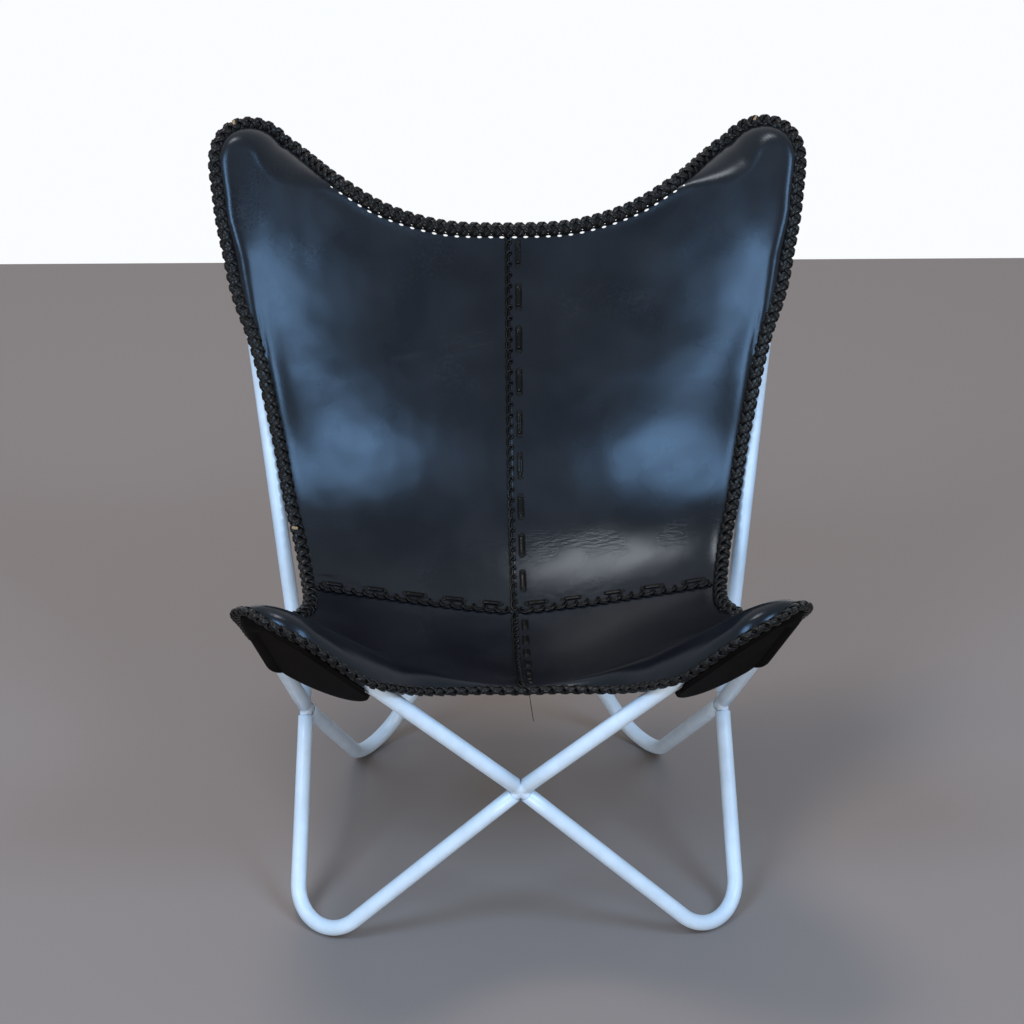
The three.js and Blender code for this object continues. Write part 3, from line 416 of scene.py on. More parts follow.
def dressed(name, shape, paint, node=None, uvs=None, left=False, outward=True):
    """A painted piece, mirrored where it is the left one, in place of the solid that is named."""
    points, faces = shape
    made = piece(name, mirrored(points) if left else points, faces, paint, uvs, outward != left)
    if node:
        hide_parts(node)
    return made


def finished(made):
    """Puts what the modifiers make into the mesh itself."""
    bpy.context.view_layer.update()
    graph = bpy.context.evaluated_depsgraph_get()
    mesh = bpy.data.meshes.new_from_object(made.evaluated_get(graph))
    made.modifiers.clear()
    made.data = mesh
    mesh.polygons.foreach_set("use_smooth", np.ones(len(mesh.polygons), bool))
    return made


# Materials


class Socket:
    """An output of a material's node; arithmetic on it adds Math nodes."""

    def __init__(self, paint, socket):
        self.paint = paint
        self.socket = socket

    def math(self, operation, other=0.0, swapped=False):
        """One Math node on this value and another."""
        values = (other, self) if swapped else (self, other)
        return self.paint.add("ShaderNodeMath", {"operation": operation}, dict(enumerate(values)))

    def __add__(self, other):
        return self.math("ADD", other)

    def __sub__(self, other):
        return self.math("SUBTRACT", other)

    def __rsub__(self, other):
        return self.math("SUBTRACT", other, swapped=True)

    def __mul__(self, other):
        return self.math("MULTIPLY", other)

    def __truediv__(self, other):
        return self.math("DIVIDE", other)

    def between(self, low, high):
        """0 below low and 1 above high, eased in between."""
        return self.paint.add("ShaderNodeMapRange", {"interpolation_type": "SMOOTHSTEP", "clamp": True},
                              {"Value": self, "From Min": low, "From Max": high})


class Paint:
    """A material under construction; its place is the point on the piece, in metres."""

    def __init__(self, name):
        self.material = bpy.data.materials.new(name)
        self.material.use_nodes = True
        self.tree = self.material.node_tree
        self.tree.nodes.clear()
        self.place = self.add("ShaderNodeTexCoord", out="Object")

    def add(self, kind, settings=None, values=None, out=0):
        """A node of a kind, its settings first, then the values or links of its sockets."""
        node = self.tree.nodes.new(kind)
        for key, value in (settings or {}).items():
            setattr(node, key, value)
        for key, value in (values or {}).items():
            if isinstance(value, Socket):
                self.tree.links.new(value.socket, node.inputs[key])
            else:
                node.inputs[key].default_value = value
        return Socket(self, node.outputs[out]) if node.outputs else None

    def uv(self, name):
        """One of the piece's UV maps, whole and as its two numbers."""
        both = self.add("ShaderNodeUVMap", {"uv_map": name})
        split = self.add("ShaderNodeSeparateXYZ", {}, {"Vector": both})
        return both, split, Socket(self, split.socket.node.outputs[1])

    def noise(self, scale, detail=4.0, roughness=0.5, where=None):
        """Soft noise from 0 to 1, scale to the metre."""
        return self.add("ShaderNodeTexNoise", {}, {
            "Vector": where or self.place, "Scale": scale, "Detail": detail, "Roughness": roughness})

    def blend(self, factor, first, second):
        """Colour first at 0 and second at 1."""
        first, second = (c if isinstance(c, Socket) else (*c, 1.0) for c in (first, second))
        return self.add("ShaderNodeMix", {"data_type": "RGBA"}, {0: factor, 6: first, 7: second}, out=2)

    def bump(self, height, strength, distance):
        """The surface's tilt from a height."""
        return self.add("ShaderNodeBump", {}, {"Height": height, "Strength": strength, "Distance": distance})

    def surface(self, values, colour):
        """The shader, from its sockets' values and links."""
        shader = self.add("ShaderNodeBsdfPrincipled", {}, values)
        self.add("ShaderNodeOutputMaterial", {}, {"Surface": shader})
        self.material.diffuse_color = (*colour, 1.0)
        return self.material


def enamel_paint(props):
    """Powder-blue enamel with a soft orange-peel skin, faint handling marks and small chips."""
    paint = Paint("powder_blue_enamel")
    patches = paint.noise(34, 5, 0.6)
    specks = paint.noise(160, 5, 0.7)
    chips = specks.between(0.71, 0.735)
    rubbed = paint.noise(45, 4, 0.6).between(0.45, 0.75)
    deep = tuple(c * 0.9 for c in props.enamel)
    base = paint.blend(patches.between(0.3, 0.7), props.enamel, deep)
    base = paint.blend(chips * 0.7, base, props.worn)
    peel = paint.noise(700, 2) * 0.3 + paint.noise(90, 2) * 0.7
    skin = paint.bump(peel - chips * 0.6, 0.12, 0.0004)
    return paint.surface({
        "Base Color": base, "Roughness": rubbed * 0.12 + 0.40, "Normal": skin,
        "Coat Weight": 0.12, "Coat Roughness": 0.25}, props.enamel)


def leather_paint(props):
    """Semi-gloss hide: pebbled grain, fine creases, dull rubbed patches and the lace holes along its rim."""
    paint = Paint("sling_leather")
    grain = paint.add("ShaderNodeTexVoronoi", {"feature": "DISTANCE_TO_EDGE"}, {
        "Vector": paint.place, "Scale": GRAIN_SCALE}).between(0.0, 0.12)
    wrinkles = paint.noise(55, 6, 0.62)
    fine = paint.noise(260, 4, 0.6)
    patches = paint.noise(11, 2, 0.5).between(0.3, 0.75)
    scuffs = paint.noise(6, 6, 0.7).between(0.56, 0.74) * fine.between(0.4, 0.7)
    base = paint.blend(patches * 0.25 + scuffs * 0.5, props.leather, props.dust)
    both, _, arc = paint.uv("hide")
    stretched = paint.add("ShaderNodeMapping", {}, {"Vector": both, "Scale": (75, 240, 1)})
    rows = paint.noise(1.0, 3, 0.55, stretched).between(0.35, 0.65)
    band = arc.between(0.07, 0.1) * (1 - arc.between(0.118, 0.15))
    folds = rows * band * paint.noise(22, 2).between(0.4, 0.6)
    height = grain * 0.05 + wrinkles * 0.45 + fine * 0.14 + folds * 0.5
    skin = paint.bump(height, 0.22, 0.0012)
    _, along, inward = paint.uv("rim")
    beside = ((along / HOLE_PITCH).math("FRACT") - 0.5) * (HOLE_PITCH / HOLE_SIZE[0] * 2)
    across = (inward - HOLE_INSET) * (2 / HOLE_SIZE[1])
    solid = (beside * beside + across * across).between(0.8, 1.2)
    return paint.surface({
        "Base Color": base, "Roughness": patches * 0.045 + fine * 0.08 + 0.17, "Normal": skin, "Alpha": solid,
        "Specular IOR Level": 0.21, "Specular Tint": (0.64, 0.80, 1.0, 1.0)}, props.leather)


def flesh_paint(props):
    """The matte brown-black underside of the pockets."""
    paint = Paint("flesh_side")
    nap = paint.noise(380, 5, 0.7)
    cloud = paint.noise(20, 4, 0.5)
    base = paint.blend(cloud.between(0.3, 0.7), props.flesh, tuple(c * 2.2 for c in props.flesh))
    skin = paint.bump(nap + cloud * 0.4, 0.45, 0.0008)
    return paint.surface({
        "Base Color": base, "Roughness": nap * 0.15 + 0.62, "Normal": skin,
        "Specular IOR Level": 0.03}, props.flesh)


def thong_paint(name, colour):
    """Dark lace leather, paler where the strands stand proud and are rubbed."""
    paint = Paint(name)
    rubbed = paint.noise(240, 4, 0.65).between(0.5, 0.72)
    fibres = paint.noise(900, 3, 0.6)
    base = paint.blend(rubbed, colour, tuple(c * 3.2 for c in colour))
    skin = paint.bump(fibres + rubbed * 0.5, 0.3, 0.0005)
    return paint.surface({
        "Base Color": base, "Roughness": fibres * 0.12 + 0.15, "Normal": skin,
        "Specular IOR Level": 0.11}, colour)


def plain_paint(name, colour, roughness):
    """One colour with a faint mottle: the cut ends of the laces and the painted shade in the cuts that the
    thongs run through.
    """
    paint = Paint(name)
    mottle = paint.noise(500, 3).between(0.3, 0.7)
    base = paint.blend(mottle, colour, tuple(c * 0.6 for c in colour))
    return paint.surface({"Base Color": base, "Roughness": roughness, "Specular IOR Level": 0.2}, colour)


# Bent tubes


class Run:
    """One tube: straight from a crossing, round a bend about its centre, and straight to the next."""

    def __init__(self, start, centre, end, radius):
        self.start, self.centre, self.end = (np.array(p, float) for p in (start, centre, end))
        self.radius = radius
        to_start, to_end = self.start - self.centre, self.end - self.centre
        self.normal = unit(np.cross(to_start, to_end))
        start_turn = np.arccos(radius / np.linalg.norm(to_start))
        end_turn = np.arccos(radius / np.linalg.norm(to_end))
        self.sweep = 2 * np.pi - angle_between(to_start, to_end) - start_turn - end_turn
        self.spoke = turned(unit(to_start), self.normal, -start_turn)
        self.marks = self.arc(BEND_MARKS)
        self.start_way = unit(self.marks[0] - self.start)
        self.end_way = unit(self.marks[-1] - self.end)

    def arc(self, steps):
        """Points round the bend: the first spoke turned back by equal shares of the sweep."""
        shares = np.linspace(0, 1, steps + 1)
        return turned(self.spoke, self.normal, -self.sweep * shares) * self.radius + self.centre

    def mirrored(self):
        """The same tube on the other side."""
        return Run(mirrored(self.start), mirrored(self.centre), mirrored(self.end), self.radius)


def foot_centre(start, end, span, depth):
    """The bend's centre stands so high that the tube's underside is worn by WEAR_DEPTH."""
    centre = np.array([span, depth, FOOT_BEND])
    for _ in range(FOOT_ROUNDS):
        low = np.sqrt(1 - Run(start, centre, end, FOOT_BEND).normal[2] ** 2)
        centre[2] = TUBE_RADIUS - WEAR_DEPTH + FOOT_BEND * low
    return centre


# The four tubes of the right half, then all eight
FRONT_LOW = foot_centre(FRONT_CROSS, SIDE_CROSS, *FRONT_FOOT)
REAR_LOW = foot_centre(SIDE_CROSS, REAR_CROSS, *REAR_FOOT)
RUNS = {
    "foot_tube_front": Run(FRONT_CROSS, FRONT_LOW, SIDE_CROSS, FOOT_BEND),
    "foot_tube_rear": Run(SIDE_CROSS, REAR_LOW, REAR_CROSS, FOOT_BEND),
    "tip_tube_front": Run(FRONT_CROSS, FRONT_TIP, SIDE_CROSS, FRONT_TIP_BEND),
    "tip_tube_rear": Run(SIDE_CROSS, REAR_TIP, REAR_CROSS, REAR_TIP_BEND),
}
ALL_RUNS = {f"{name}_right": run for name, run in RUNS.items()}
ALL_RUNS.update({f"{name}_left": run.mirrored() for name, run in RUNS.items()})


def arms_at(cross):
    """The way that each tube leaves a crossing, with the normal of its bend."""
    ways = []
    for run in ALL_RUNS.values():
        ways += [(way, run.normal) for end, way in ((run.start, run.start_way), (run.end, run.end_way))
                 if np.linalg.norm(end - cross) < 1]
    return ways


def rim_distance(cross, way):
    """How far a tube's rim stands from the crossing, so that it clears its neighbours' rims."""
    angles = [angle_between(other, way) for other, _ in arms_at(cross)]
    return max(TUBE_RADIUS / np.tan(a / 2) for a in angles if a > 0.05) + RIM_GAP


def rings(points, ways, normal, radii, sides):
    """Circles about points: centre + radius (cos normal + sin (way x normal))."""
    angle = circle(sides, 0.5)
    across = np.cross(ways, normal)
    round_ = np.cos(angle)[None, :, None] * normal + np.sin(angle)[None, :, None] * across[:, None]
    return points[:, None] + np.asarray(radii)[:, None, None] * round_


class CHAIR_OT_tubes(bpy.types.Operator):
    """Bends the eight enamelled tubes, hollow, with rounded rims and worn feet."""

    bl_idname = "chair.tubes"
    bl_label = "Enamelled tubes"

    def execute(self, context):
        props = context.scene.chair_frame
        paint = enamel_paint(props)
        bore = TUBE_RADIUS - props.wall / MM
        for name, run in ALL_RUNS.items():
            first = run.start + run.start_way * rim_distance(run.start, run.start_way)
            last = run.end + run.end_way * rim_distance(run.end, run.end_way)
            arc = run.arc(BEND_STEPS)
            way_round = unit(np.cross(arc - run.centre, run.normal))
            lead = np.linspace(0, 1, STRAIGHT_STEPS)[1:-1, None]
            points = np.concatenate([
                [first, first + run.start_way * TUBE_RIM], mix(first, arc[0], lead), arc,
                mix(arc[-1], last, lead), [last + run.end_way * TUBE_RIM, last]])
            ways = np.concatenate([
                np.repeat([run.start_way], STRAIGHT_STEPS, 0), way_round,
                np.repeat([-run.end_way], STRAIGHT_STEPS, 0)])
            outer = np.full(len(points), TUBE_RADIUS)
            outer[[0, -1]] -= TUBE_RIM
            inner = np.full(len(points), bore)
            inner[[0, -1]] += TUBE_RIM / 2
            skin = np.concatenate([
                rings(points, ways, run.normal, outer, props.sides),
                rings(points, ways, run.normal, inner, props.sides)[::-1]])
            skin[..., 2] = np.maximum(skin[..., 2], 0)
            faces = grid_faces(*skin.shape[:2], wrap_rows=True, wrap_columns=True)
            dressed(name.replace("_tube", "_pipe"), (skin, faces), paint, name)
        return {"FINISHED"}


class CHAIR_OT_crosses(bpy.types.Operator):
    """Welds four spigots into the cross at each of the four crossings."""

    bl_idname = "chair.crosses"
    bl_label = "Welded crosses"

    def execute(self, context):
        paint = bpy.data.materials["powder_blue_enamel"]
        radius = TUBE_RADIUS - context.scene.chair_frame.wall / MM - SPIGOT_CLEARANCE
        places = {"front": FRONT_CROSS, "rear": REAR_CROSS, "right": SIDE_CROSS,
                  "left": mirrored(np.array(SIDE_CROSS, float))}
        for side, place in places.items():
            cross = np.array(place, float)
            parts = []
            for way, normal in arms_at(cross):
                reach = rim_distance(cross, way) + SPIGOT_REACH
                steps = np.array([0, 0, reach - SPIGOT_CHAMFER, reach, reach])[:, None]
                radii = [0, radius, radius, radius - SPIGOT_CHAMFER, 0]
                ring = rings(cross + way * steps, np.repeat([way], 5, 0), normal, radii, SPIGOT_SIDES)
                parts.append((ring.reshape(-1, 3), grid_faces(*ring.shape[:2], wrap_columns=True)))
            made = piece(f"welded_cross_{side}", *joined(parts), paint)
            join = made.modifiers.new("weld", "REMESH")
            join.mode = "VOXEL"
            join.voxel_size = WELD_VOXEL
            soften = made.modifiers.new("fillet", "SMOOTH")
            soften.factor = 0.5
            soften.iterations = 6
            finished(made)
            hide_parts(f"cross_connector_{side}")
        return {"FINISHED"}


# The sling's surface


def through(rows, station):
    """Values and slopes of a smooth cubic through rows of numbers, one row to a station."""
    rows = np.asarray(rows, float)
    rows = rows[:, None] if rows.ndim == 1 else rows
    count = len(rows)
    place = np.clip(station, 0, count - 1)
    at = np.minimum(np.floor(place).astype(int), count - 2)
    t = (place - at)[..., None]
    long = np.concatenate([2 * rows[:1] - rows[1:2], rows, 2 * rows[-1:] - rows[-2:-1]])
    a, b, c, d = (long[at + k] for k in range(4))
    slope_in, slope_out = (c - a) / 2, (d - b) / 2
    cube = 2 * b - 2 * c + slope_in + slope_out
    square = 3 * c - 3 * b - 2 * slope_in - slope_out
    return ((cube * t + square) * t + slope_in) * t + b, (3 * cube * t + 2 * square) * t + slope_in


def centre_rows():
    """The centre line's places (depth, height), from beyond the front tips to beyond the rear tips."""
    low = np.array(SEAT_LOW, float)
    front, rear = (np.array(tip[1:], float) for tip in (FRONT_TIP, REAR_TIP))
    return np.concatenate([
        mix(low, front, np.array(FRONT_LINE)), low[None], mix(low, rear, np.array(BACK_LINE))])


CENTRE = centre_rows()


def centre_line(station):
    """The centre line at a station: place, ways along it and square to it, millimetres to a station."""
    values, slopes = through(CENTRE, np.asarray(station, float))
    length = np.linalg.norm(slopes, axis=-1)
    along = slopes / length[..., None]
    return values, along, np.stack([-along[..., 1], along[..., 0]], -1), length


# Lengths along the centre line from the cross seam, at many stations
ARC_STATIONS = np.linspace(0, len(CENTRE) - 1, LINE_SAMPLES)
ARC_LENGTHS = path_length(through(CENTRE, ARC_STATIONS)[0])
ARC_LENGTHS -= np.interp(CROSS_SEAM, ARC_STATIONS, ARC_LENGTHS)


def arc_of(station):
    """Millimetres along the centre line from the cross seam; the seat is negative."""
    return np.interp(station, ARC_STATIONS, ARC_LENGTHS)


def station_of(arc):
    """The station at so many millimetres from the cross seam."""
    return np.interp(arc, ARC_LENGTHS, ARC_STATIONS)


def sling_place(points):
    """x, station and height above the centre line of points, by nearest try and then Newton steps."""
    tries = np.linspace(0, len(CENTRE) - 1, STATION_TRIES * (len(CENTRE) - 1) + 1)
    seat = points[:, 1:]
    gaps = np.linalg.norm(seat[:, None] - centre_line(tries)[0], axis=-1)
    station = tries[gaps.argmin(1)]
    for _ in range(NEWTON_ROUNDS):
        line, along, _, length = centre_line(station)
        station = station + np.sum((seat - line) * along, -1) / length
    line, _, square, _ = centre_line(station)
    return points[:, 0], station, np.sum((seat - line) * square, -1)


def section(x, station):
    """The sling's cross section: the share squared, times 1 + fullness (1 - share squared)."""
    share = (x / REAR_TIP[0]) ** 2
    return share * (1 + through(FLANKS, station)[0][..., 0] * (1 - share))


def plain_rise(station):
    """How far the sides stand above the centre line before the sling is lifted on to the tubes."""
    return BUCKET_RISE * through(RISES, station)[0][..., 0]


# From a tube's line to the hide's middle: where the hide rests on it, and the least anywhere
STAND_OFF = TUBE_RADIUS + HIDE / 2 + 2 * HIDE_GAP
HIDE_CLEAR = TUBE_RADIUS + HIDE / 2 + HIDE_GAP + HIDE_SAG


def lift_over(run):
    """How far the sling has to rise to rest on a tip tube's bend and arms."""
    arms = [mix(near, end, share) for near, end in ((run.marks[0], run.start), (run.marks[-1], run.end))
            for share in ARM_MARKS]
    x, station, height = sling_place(np.concatenate([run.marks, arms]))
    return np.max((height + STAND_OFF) / section(x, station) - plain_rise(station))


FRONT_LIFT, REAR_LIFT = lift_over(RUNS["tip_tube_front"]), lift_over(RUNS["tip_tube_rear"])


def base_height(x, station):
    """Height of the free hide above the centre line."""
    lift = mix(FRONT_LIFT, REAR_LIFT, ease(*LIFT_STATIONS, station))
    return (plain_rise(station) + lift) * section(x, station)


def sling_point(x, station, height):
    """The point in space: the centre line's place, plus height along its square way."""
    line, _, square, _ = centre_line(station)
    seat = line + square * np.asarray(height)[..., None]
    return np.stack([np.broadcast_to(x, seat.shape[:-1]), seat[..., 0], seat[..., 1]], -1)


def plane_height(run, x, station):
    """Height of the plane of a bent tube above the centre line."""
    line, _, square, _ = centre_line(station)
    n, c = run.normal, run.centre
    gap = (c[0] - np.abs(x)) * n[0] + (c[1] - line[..., 0]) * n[1] + (c[2] - line[..., 1]) * n[2]
    return gap / (square[..., 0] * n[1] + square[..., 1] * n[2])


def placed(rows):
    """Rows of station and share of the half span, as x and station."""
    rows = np.asarray(rows, float)
    half = mix(FRONT_TIP[0], REAR_TIP[0], ease(*SPAN_STATIONS, rows[:, 0]))
    return np.stack([rows[:, 1] * half, rows[:, 0]], -1)


def seam_round(run, start_run, end_run, overhangs):
    """The seam round a tip: marks on the tube's line, down its arms too, each moved out by its overhang."""

    def down(point, way, lengths):
        square = unit(np.cross(way, run.normal))
        square = square * np.sign(np.dot(square, point - run.centre))
        return [(point - way * length, square) for length in lengths if length]

    arc = run.marks
    marks = down(arc[0], run.start_way, (start_run, start_run / 2))
    marks += list(zip(arc, unit(arc - run.centre)))
    marks += down(arc[-1], run.end_way, (end_run / 2, end_run))
    moved_out = np.array([point + way * over for (point, way), over in zip(marks, overhangs)])
    return np.stack(sling_place(moved_out)[:2], -1)


def edge_line(places):
    """A smooth line through places, as a function of the share of its length."""
    count = EDGE_STEPS * (len(places) - 1)
    rows = through(places, np.arange(count + 1) / EDGE_STEPS)[0]
    scale = centre_line(rows[1:, 1])[3]
    steps = np.hypot(np.diff(rows[:, 0]), scale * np.diff(rows[:, 1]))
    lengths = np.concatenate([[0], np.cumsum(steps)])

    def at(share):
        wanted = np.clip(share, 0, 1) * lengths[-1]
        return resampled(lengths, rows, wanted)

    return at


def panel_edges():
    """The four edges of the back panel and of the seat panel."""
    wing = seam_round(RUNS["tip_tube_front"], WING_INNER * FRONT_TIP_BEND,
                      WING_OUTER * FRONT_TIP_BEND, WING_OVERHANGS)
    lobe = seam_round(RUNS["tip_tube_rear"], LOBE_OUTER * REAR_TIP_BEND, 0, LOBE_OVERHANGS)
    half = placed(BACK_SIDE[:1])[0, 0]
    cross = edge_line([[share * half, CROSS_SEAM + bow] for share, bow in SEAM_BOW])
    back = {
        "low": cross,
        "side": edge_line(np.concatenate([placed(BACK_SIDE), lobe[:LOBE_CORNER + 1]])),
        "high": edge_line(np.concatenate([[[0, TOP_EDGE]], placed(TOP)[::-1], lobe[LOBE_CORNER:][::-1]])),
        "centre": edge_line([[0, CROSS_SEAM], [0, TOP_EDGE]]),
    }
    seat = {
        "low": edge_line(np.concatenate([[[0, FRONT_EDGE]], placed(FRONT)[::-1], wing[:WING_CORNER + 1]])),
        "side": edge_line(np.concatenate([wing[WING_CORNER:], placed(SEAT_SIDE), [cross(1.0)]])),
        "high": cross,
        "centre": edge_line([[0, FRONT_EDGE], [0, CROSS_SEAM]]),
    }
    return back, seat


def rolled(distance, width):
    """The hide turns over like a quarter round within a width of its edge."""
    share = np.clip(1 - distance / width, 0, 1)
    return 1 - np.sqrt(1 - share * share)


def clear_of(run, points, clear):
    """Moves points out square to a bent tube's line until they are clear of it."""
    shape = points.shape
    points = points.reshape(-1, 3)
    best = np.full(len(points), np.inf)
    nearest = np.zeros_like(points)

    def nearer(foot, allowed):
        nonlocal best, nearest
        distance = np.where(allowed, np.linalg.norm(foot - points, axis=-1), np.inf)
        closer = distance < best
        best = np.where(closer, distance, best)
        nearest = np.where(closer[:, None], foot, nearest)

    for end, near in ((run.start, run.marks[0]), (run.end, run.marks[-1])):
        way = near - end
        share = np.clip((points - end) @ way / (way @ way), 0, 1)
        nearer(end + share[:, None] * way, True)
    flat = points - run.centre
    flat = flat - (flat @ run.normal)[:, None] * run.normal
    half = run.marks[0] + run.marks[-1] - 2 * run.centre
    turn = angle_between(half, run.marks[0] - run.centre)
    nearer(run.centre + unit(flat) * run.radius, angle_between(flat, half) < turn)
    held_off = nearest + unit(points - nearest) * clear
    return np.where((best < clear)[:, None], held_off, points).reshape(shape)


class Panel:
    """Half of the back or of the seat: its edges, the tube that carries it and its rim's drop."""

    def __init__(self, edges, end, run, side_sewn, end_sewn, raises=None):
        self.edges, self.run, self.raises = edges, run, raises or {}
        self.sewn = {"side": side_sewn, end: end_sewn}
        shares = np.linspace(0, 1, EDGE_SAMPLES)
        rows = []
        for name in ("side", end):
            x, station = edges[name](shares).T
            rows.append(np.stack([x, station, self.drop(name, x, station)], -1))
        self.rim = np.concatenate(rows)
        x, station = self.rim[:, :2].T
        length = path_length(sling_point(x, station, base_height(x, station)))
        self.rim = np.concatenate([self.rim, length[:, None]], -1)

    def drop(self, name, x, station):
        """How far the rim hangs below the free hide: slightly, or to the tube's plane where it is sewn."""
        seam = plane_height(self.run, x, station) + (HIDE + POCKET_GAP) / 2
        if name in self.raises:
            seam = seam + self.raises[name](x)
        full = np.maximum(FLAT_ROLL, base_height(x, station) - seam)
        return mix(FLAT_ROLL, full, self.sewn[name](x, station))

    def place(self, u, v):
        """x and station at u across and v up: the sum of both pairs of edges less their corners."""
        low, high = self.edges["low"](u), self.edges["high"](u)
        centre, side = self.edges["centre"](v), self.edges["side"](v)
        corners = [self.edges[name](share) for name in ("low", "high") for share in (0.0, 1.0)]
        u, v = u[..., None], v[..., None]
        return (mix(low, high, v) + mix(centre, side, u)
                - mix(mix(corners[0], corners[1], u), mix(corners[2], corners[3], u), v))

    def nearest(self, x, station, rim=None, value=2):
        """Distance to the rim and its drop there, or another of its columns."""
        rim = self.rim if rim is None else rim
        shape = np.broadcast(x, station).shape
        x, station = (np.broadcast_to(values, shape).ravel() for values in (x, station))
        scale = centre_line(station)[3]
        distance, drop = np.zeros(len(x)), np.zeros(len(x))
        for first in range(0, len(x), CHUNK):
            part = slice(first, first + CHUNK)
            gaps = np.hypot(rim[:, 0] - x[part, None], scale[part, None] * (rim[:, 1] - station[part, None]))
            at = gaps.argmin(1)
            distance[part] = gaps[np.arange(len(at)), at]
            share = np.exp((distance[part, None] - gaps) / DROP_SPREAD)
            drop[part] = rim[at, value] if value == 3 else share @ rim[:, value] / share.sum(1)
        return distance.reshape(shape), drop.reshape(shape)

    def point(self, x, station):
        """The hide's middle surface: the free hide, rolled down at its rim and held off the tube."""
        distance, drop = self.nearest(x, station)
        roll = drop * rolled(distance, ROLL_WIDTH + np.maximum(0, drop - STAND_OFF))
        return clear_of(self.run, sling_point(x, station, base_height(x, station) - roll), HIDE_CLEAR)

    def square(self, x, station):
        """The way square to the hide, from its slopes over PROBE millimetres."""
        step = PROBE / centre_line(station)[3]
        across = self.point(x + PROBE, station) - self.point(x - PROBE, station)
        along = self.point(x, station + step) - self.point(x, station - step)
        return unit(np.cross(across, along))


BACK_EDGES, SEAT_EDGES = panel_edges()
BACK = Panel(
    BACK_EDGES, "high", RUNS["tip_tube_rear"],
    lambda x, station: ease(*BACK_SEWN, station), lambda x, station: ease(*TOP_SEWN, x / REAR_TIP[0]))
SEAT = Panel(
    SEAT_EDGES, "low", RUNS["tip_tube_front"],
    lambda x, station: 1 - ease(*SEAT_SEWN, station),
    lambda x, station: mix(
        FRONT_TURN_LEAST, 1, np.clip(x / (FRONT_TURN_SHARE * FRONT_TIP[0]), 0, 1) ** FRONT_TURN_POWER),
    {"side": lambda x: WING_RAISE,
     "low": lambda x: mix(FRONT_RAISE, WING_RAISE, ease(*WING_RISES, x / FRONT_TIP[0]))})


def edge_steps(count, close, fine):
    """Shares from 0 to 1: even at first, then crowding over the last share like a quarter round."""
    body = np.linspace(0, 1 - close, count, endpoint=False)
    return np.concatenate([body, 1 - close * (1 - np.sin(np.pi / 2 * np.linspace(0, 1, fine)))])


def closed_sheet(points, squares):
    """Both faces of a hide about its middle surface, and the quads that close it round its rim."""
    rows, columns = points.shape[:2]
    both = np.stack([points + squares * HIDE / 2, points - squares * HIDE / 2])
    front = grid_faces(rows, columns)
    back = front[:, ::-1] + rows * columns
    rim = np.concatenate([
        np.arange(columns), np.arange(1, rows) * columns + columns - 1,
        (rows - 1) * columns + np.arange(columns - 2, -1, -1), np.arange(rows - 2, 0, -1) * columns])
    after = np.roll(rim, -1)
    skirt = np.stack([after, rim, rim + rows * columns, after + rows * columns], -1)
    return both.reshape(-1, 3), np.concatenate([front, back, skirt])


def grid_squares(points):
    """The way square to a grid of points, from its slopes along rows and columns."""
    return unit(np.cross(np.gradient(points, axis=1), np.gradient(points, axis=0)))


def crease(x, arc, start, end, width, depth):
    """A crease along a line: a valley between two ridges, by the distance from it over the width."""
    start, end = np.array(start, float), np.array(end, float)
    way = end - start
    share = np.clip(((x - start[0]) * way[0] + (arc - start[1]) * way[1]) / (way @ way), 0, 1)
    away = np.hypot(x - start[0] - share * way[0], arc - start[1] - share * way[1]) / width
    return depth * (1.6 * away * away - 1) * np.exp(-away * away) * (0.4 + 0.6 * np.sin(np.pi * share))


def wrinkle(x, arc, side, distance):
    """How far the hide stands off its smooth form: unevenness, dying out at seams and rims, and creases."""
    calm = ease(*CALM_RIM, np.abs(x)) * ease(*CALM_SEAM, np.abs(arc)) * ease(*CALM_RIM, distance)
    slow, quick = waves(x, arc, SLOW_WAVES, side), waves(x, arc, QUICK_WAVES, side)
    middle, reach = SEAM_BAND
    seam = np.exp(-((arc - middle) / reach) ** 2) * waves(x * 0.5, arc, SEAM_WAVES, side)
    at_seam, at_middle, at_rim = CALM_BAND
    band = ease(*at_seam, np.abs(arc)) * ease(*at_middle, np.abs(x)) * ease(*at_rim, distance)
    total = calm * (slow + quick) + band * seam
    if side:
        total = total + sum(crease(x, arc, *values) for values in CREASES)
    rising, falling, width, height, across = EDGE_SWELL
    along = ease(*rising, station_of(arc)) * (1 - ease(*falling, station_of(arc)))
    return total + height * along * distance / width * np.exp(1 - distance / width) * ease(*across, x)


def panel_grid(panel, u_shares, v_shares, side):
    """The grid of a panel: its middle surface with its wrinkles, its square ways and its two UV maps."""
    u, v = np.meshgrid(u_shares, v_shares)
    x, station = np.moveaxis(panel.place(u, v), -1, 0)
    x[:, 0] = HIDE_GAP / 2
    seam_row = 0 if panel is BACK else -1
    station[seam_row] += (HIDE_GAP / 2 / centre_line(station[seam_row])[3]) * (1 if panel is BACK else -1)
    points = panel.point(x, station)
    squares = grid_squares(points)
    distance, along = panel.nearest(x, station, value=3)
    arc = arc_of(station)
    points = points + squares * wrinkle(x, arc, side, distance)[..., None]
    squares = grid_squares(points)
    uv = np.stack([x, arc], -1) * MM
    pierced = (station > HOLES[1]) & (x < HOLES[0])
    rim_uv = np.stack([along, np.where(pierced, distance, NO_HOLES)], -1) * MM
    return points, squares, uv, rim_uv


def sheet_area(points):
    """Square metres of a grid: half the cross products of each quad's diagonals."""
    a = points[1:, 1:] - points[:-1, :-1]
    b = points[1:, :-1] - points[:-1, 1:]
    return float(np.sum(np.linalg.norm(np.cross(a, b), axis=-1)) / 2) * MM * MM


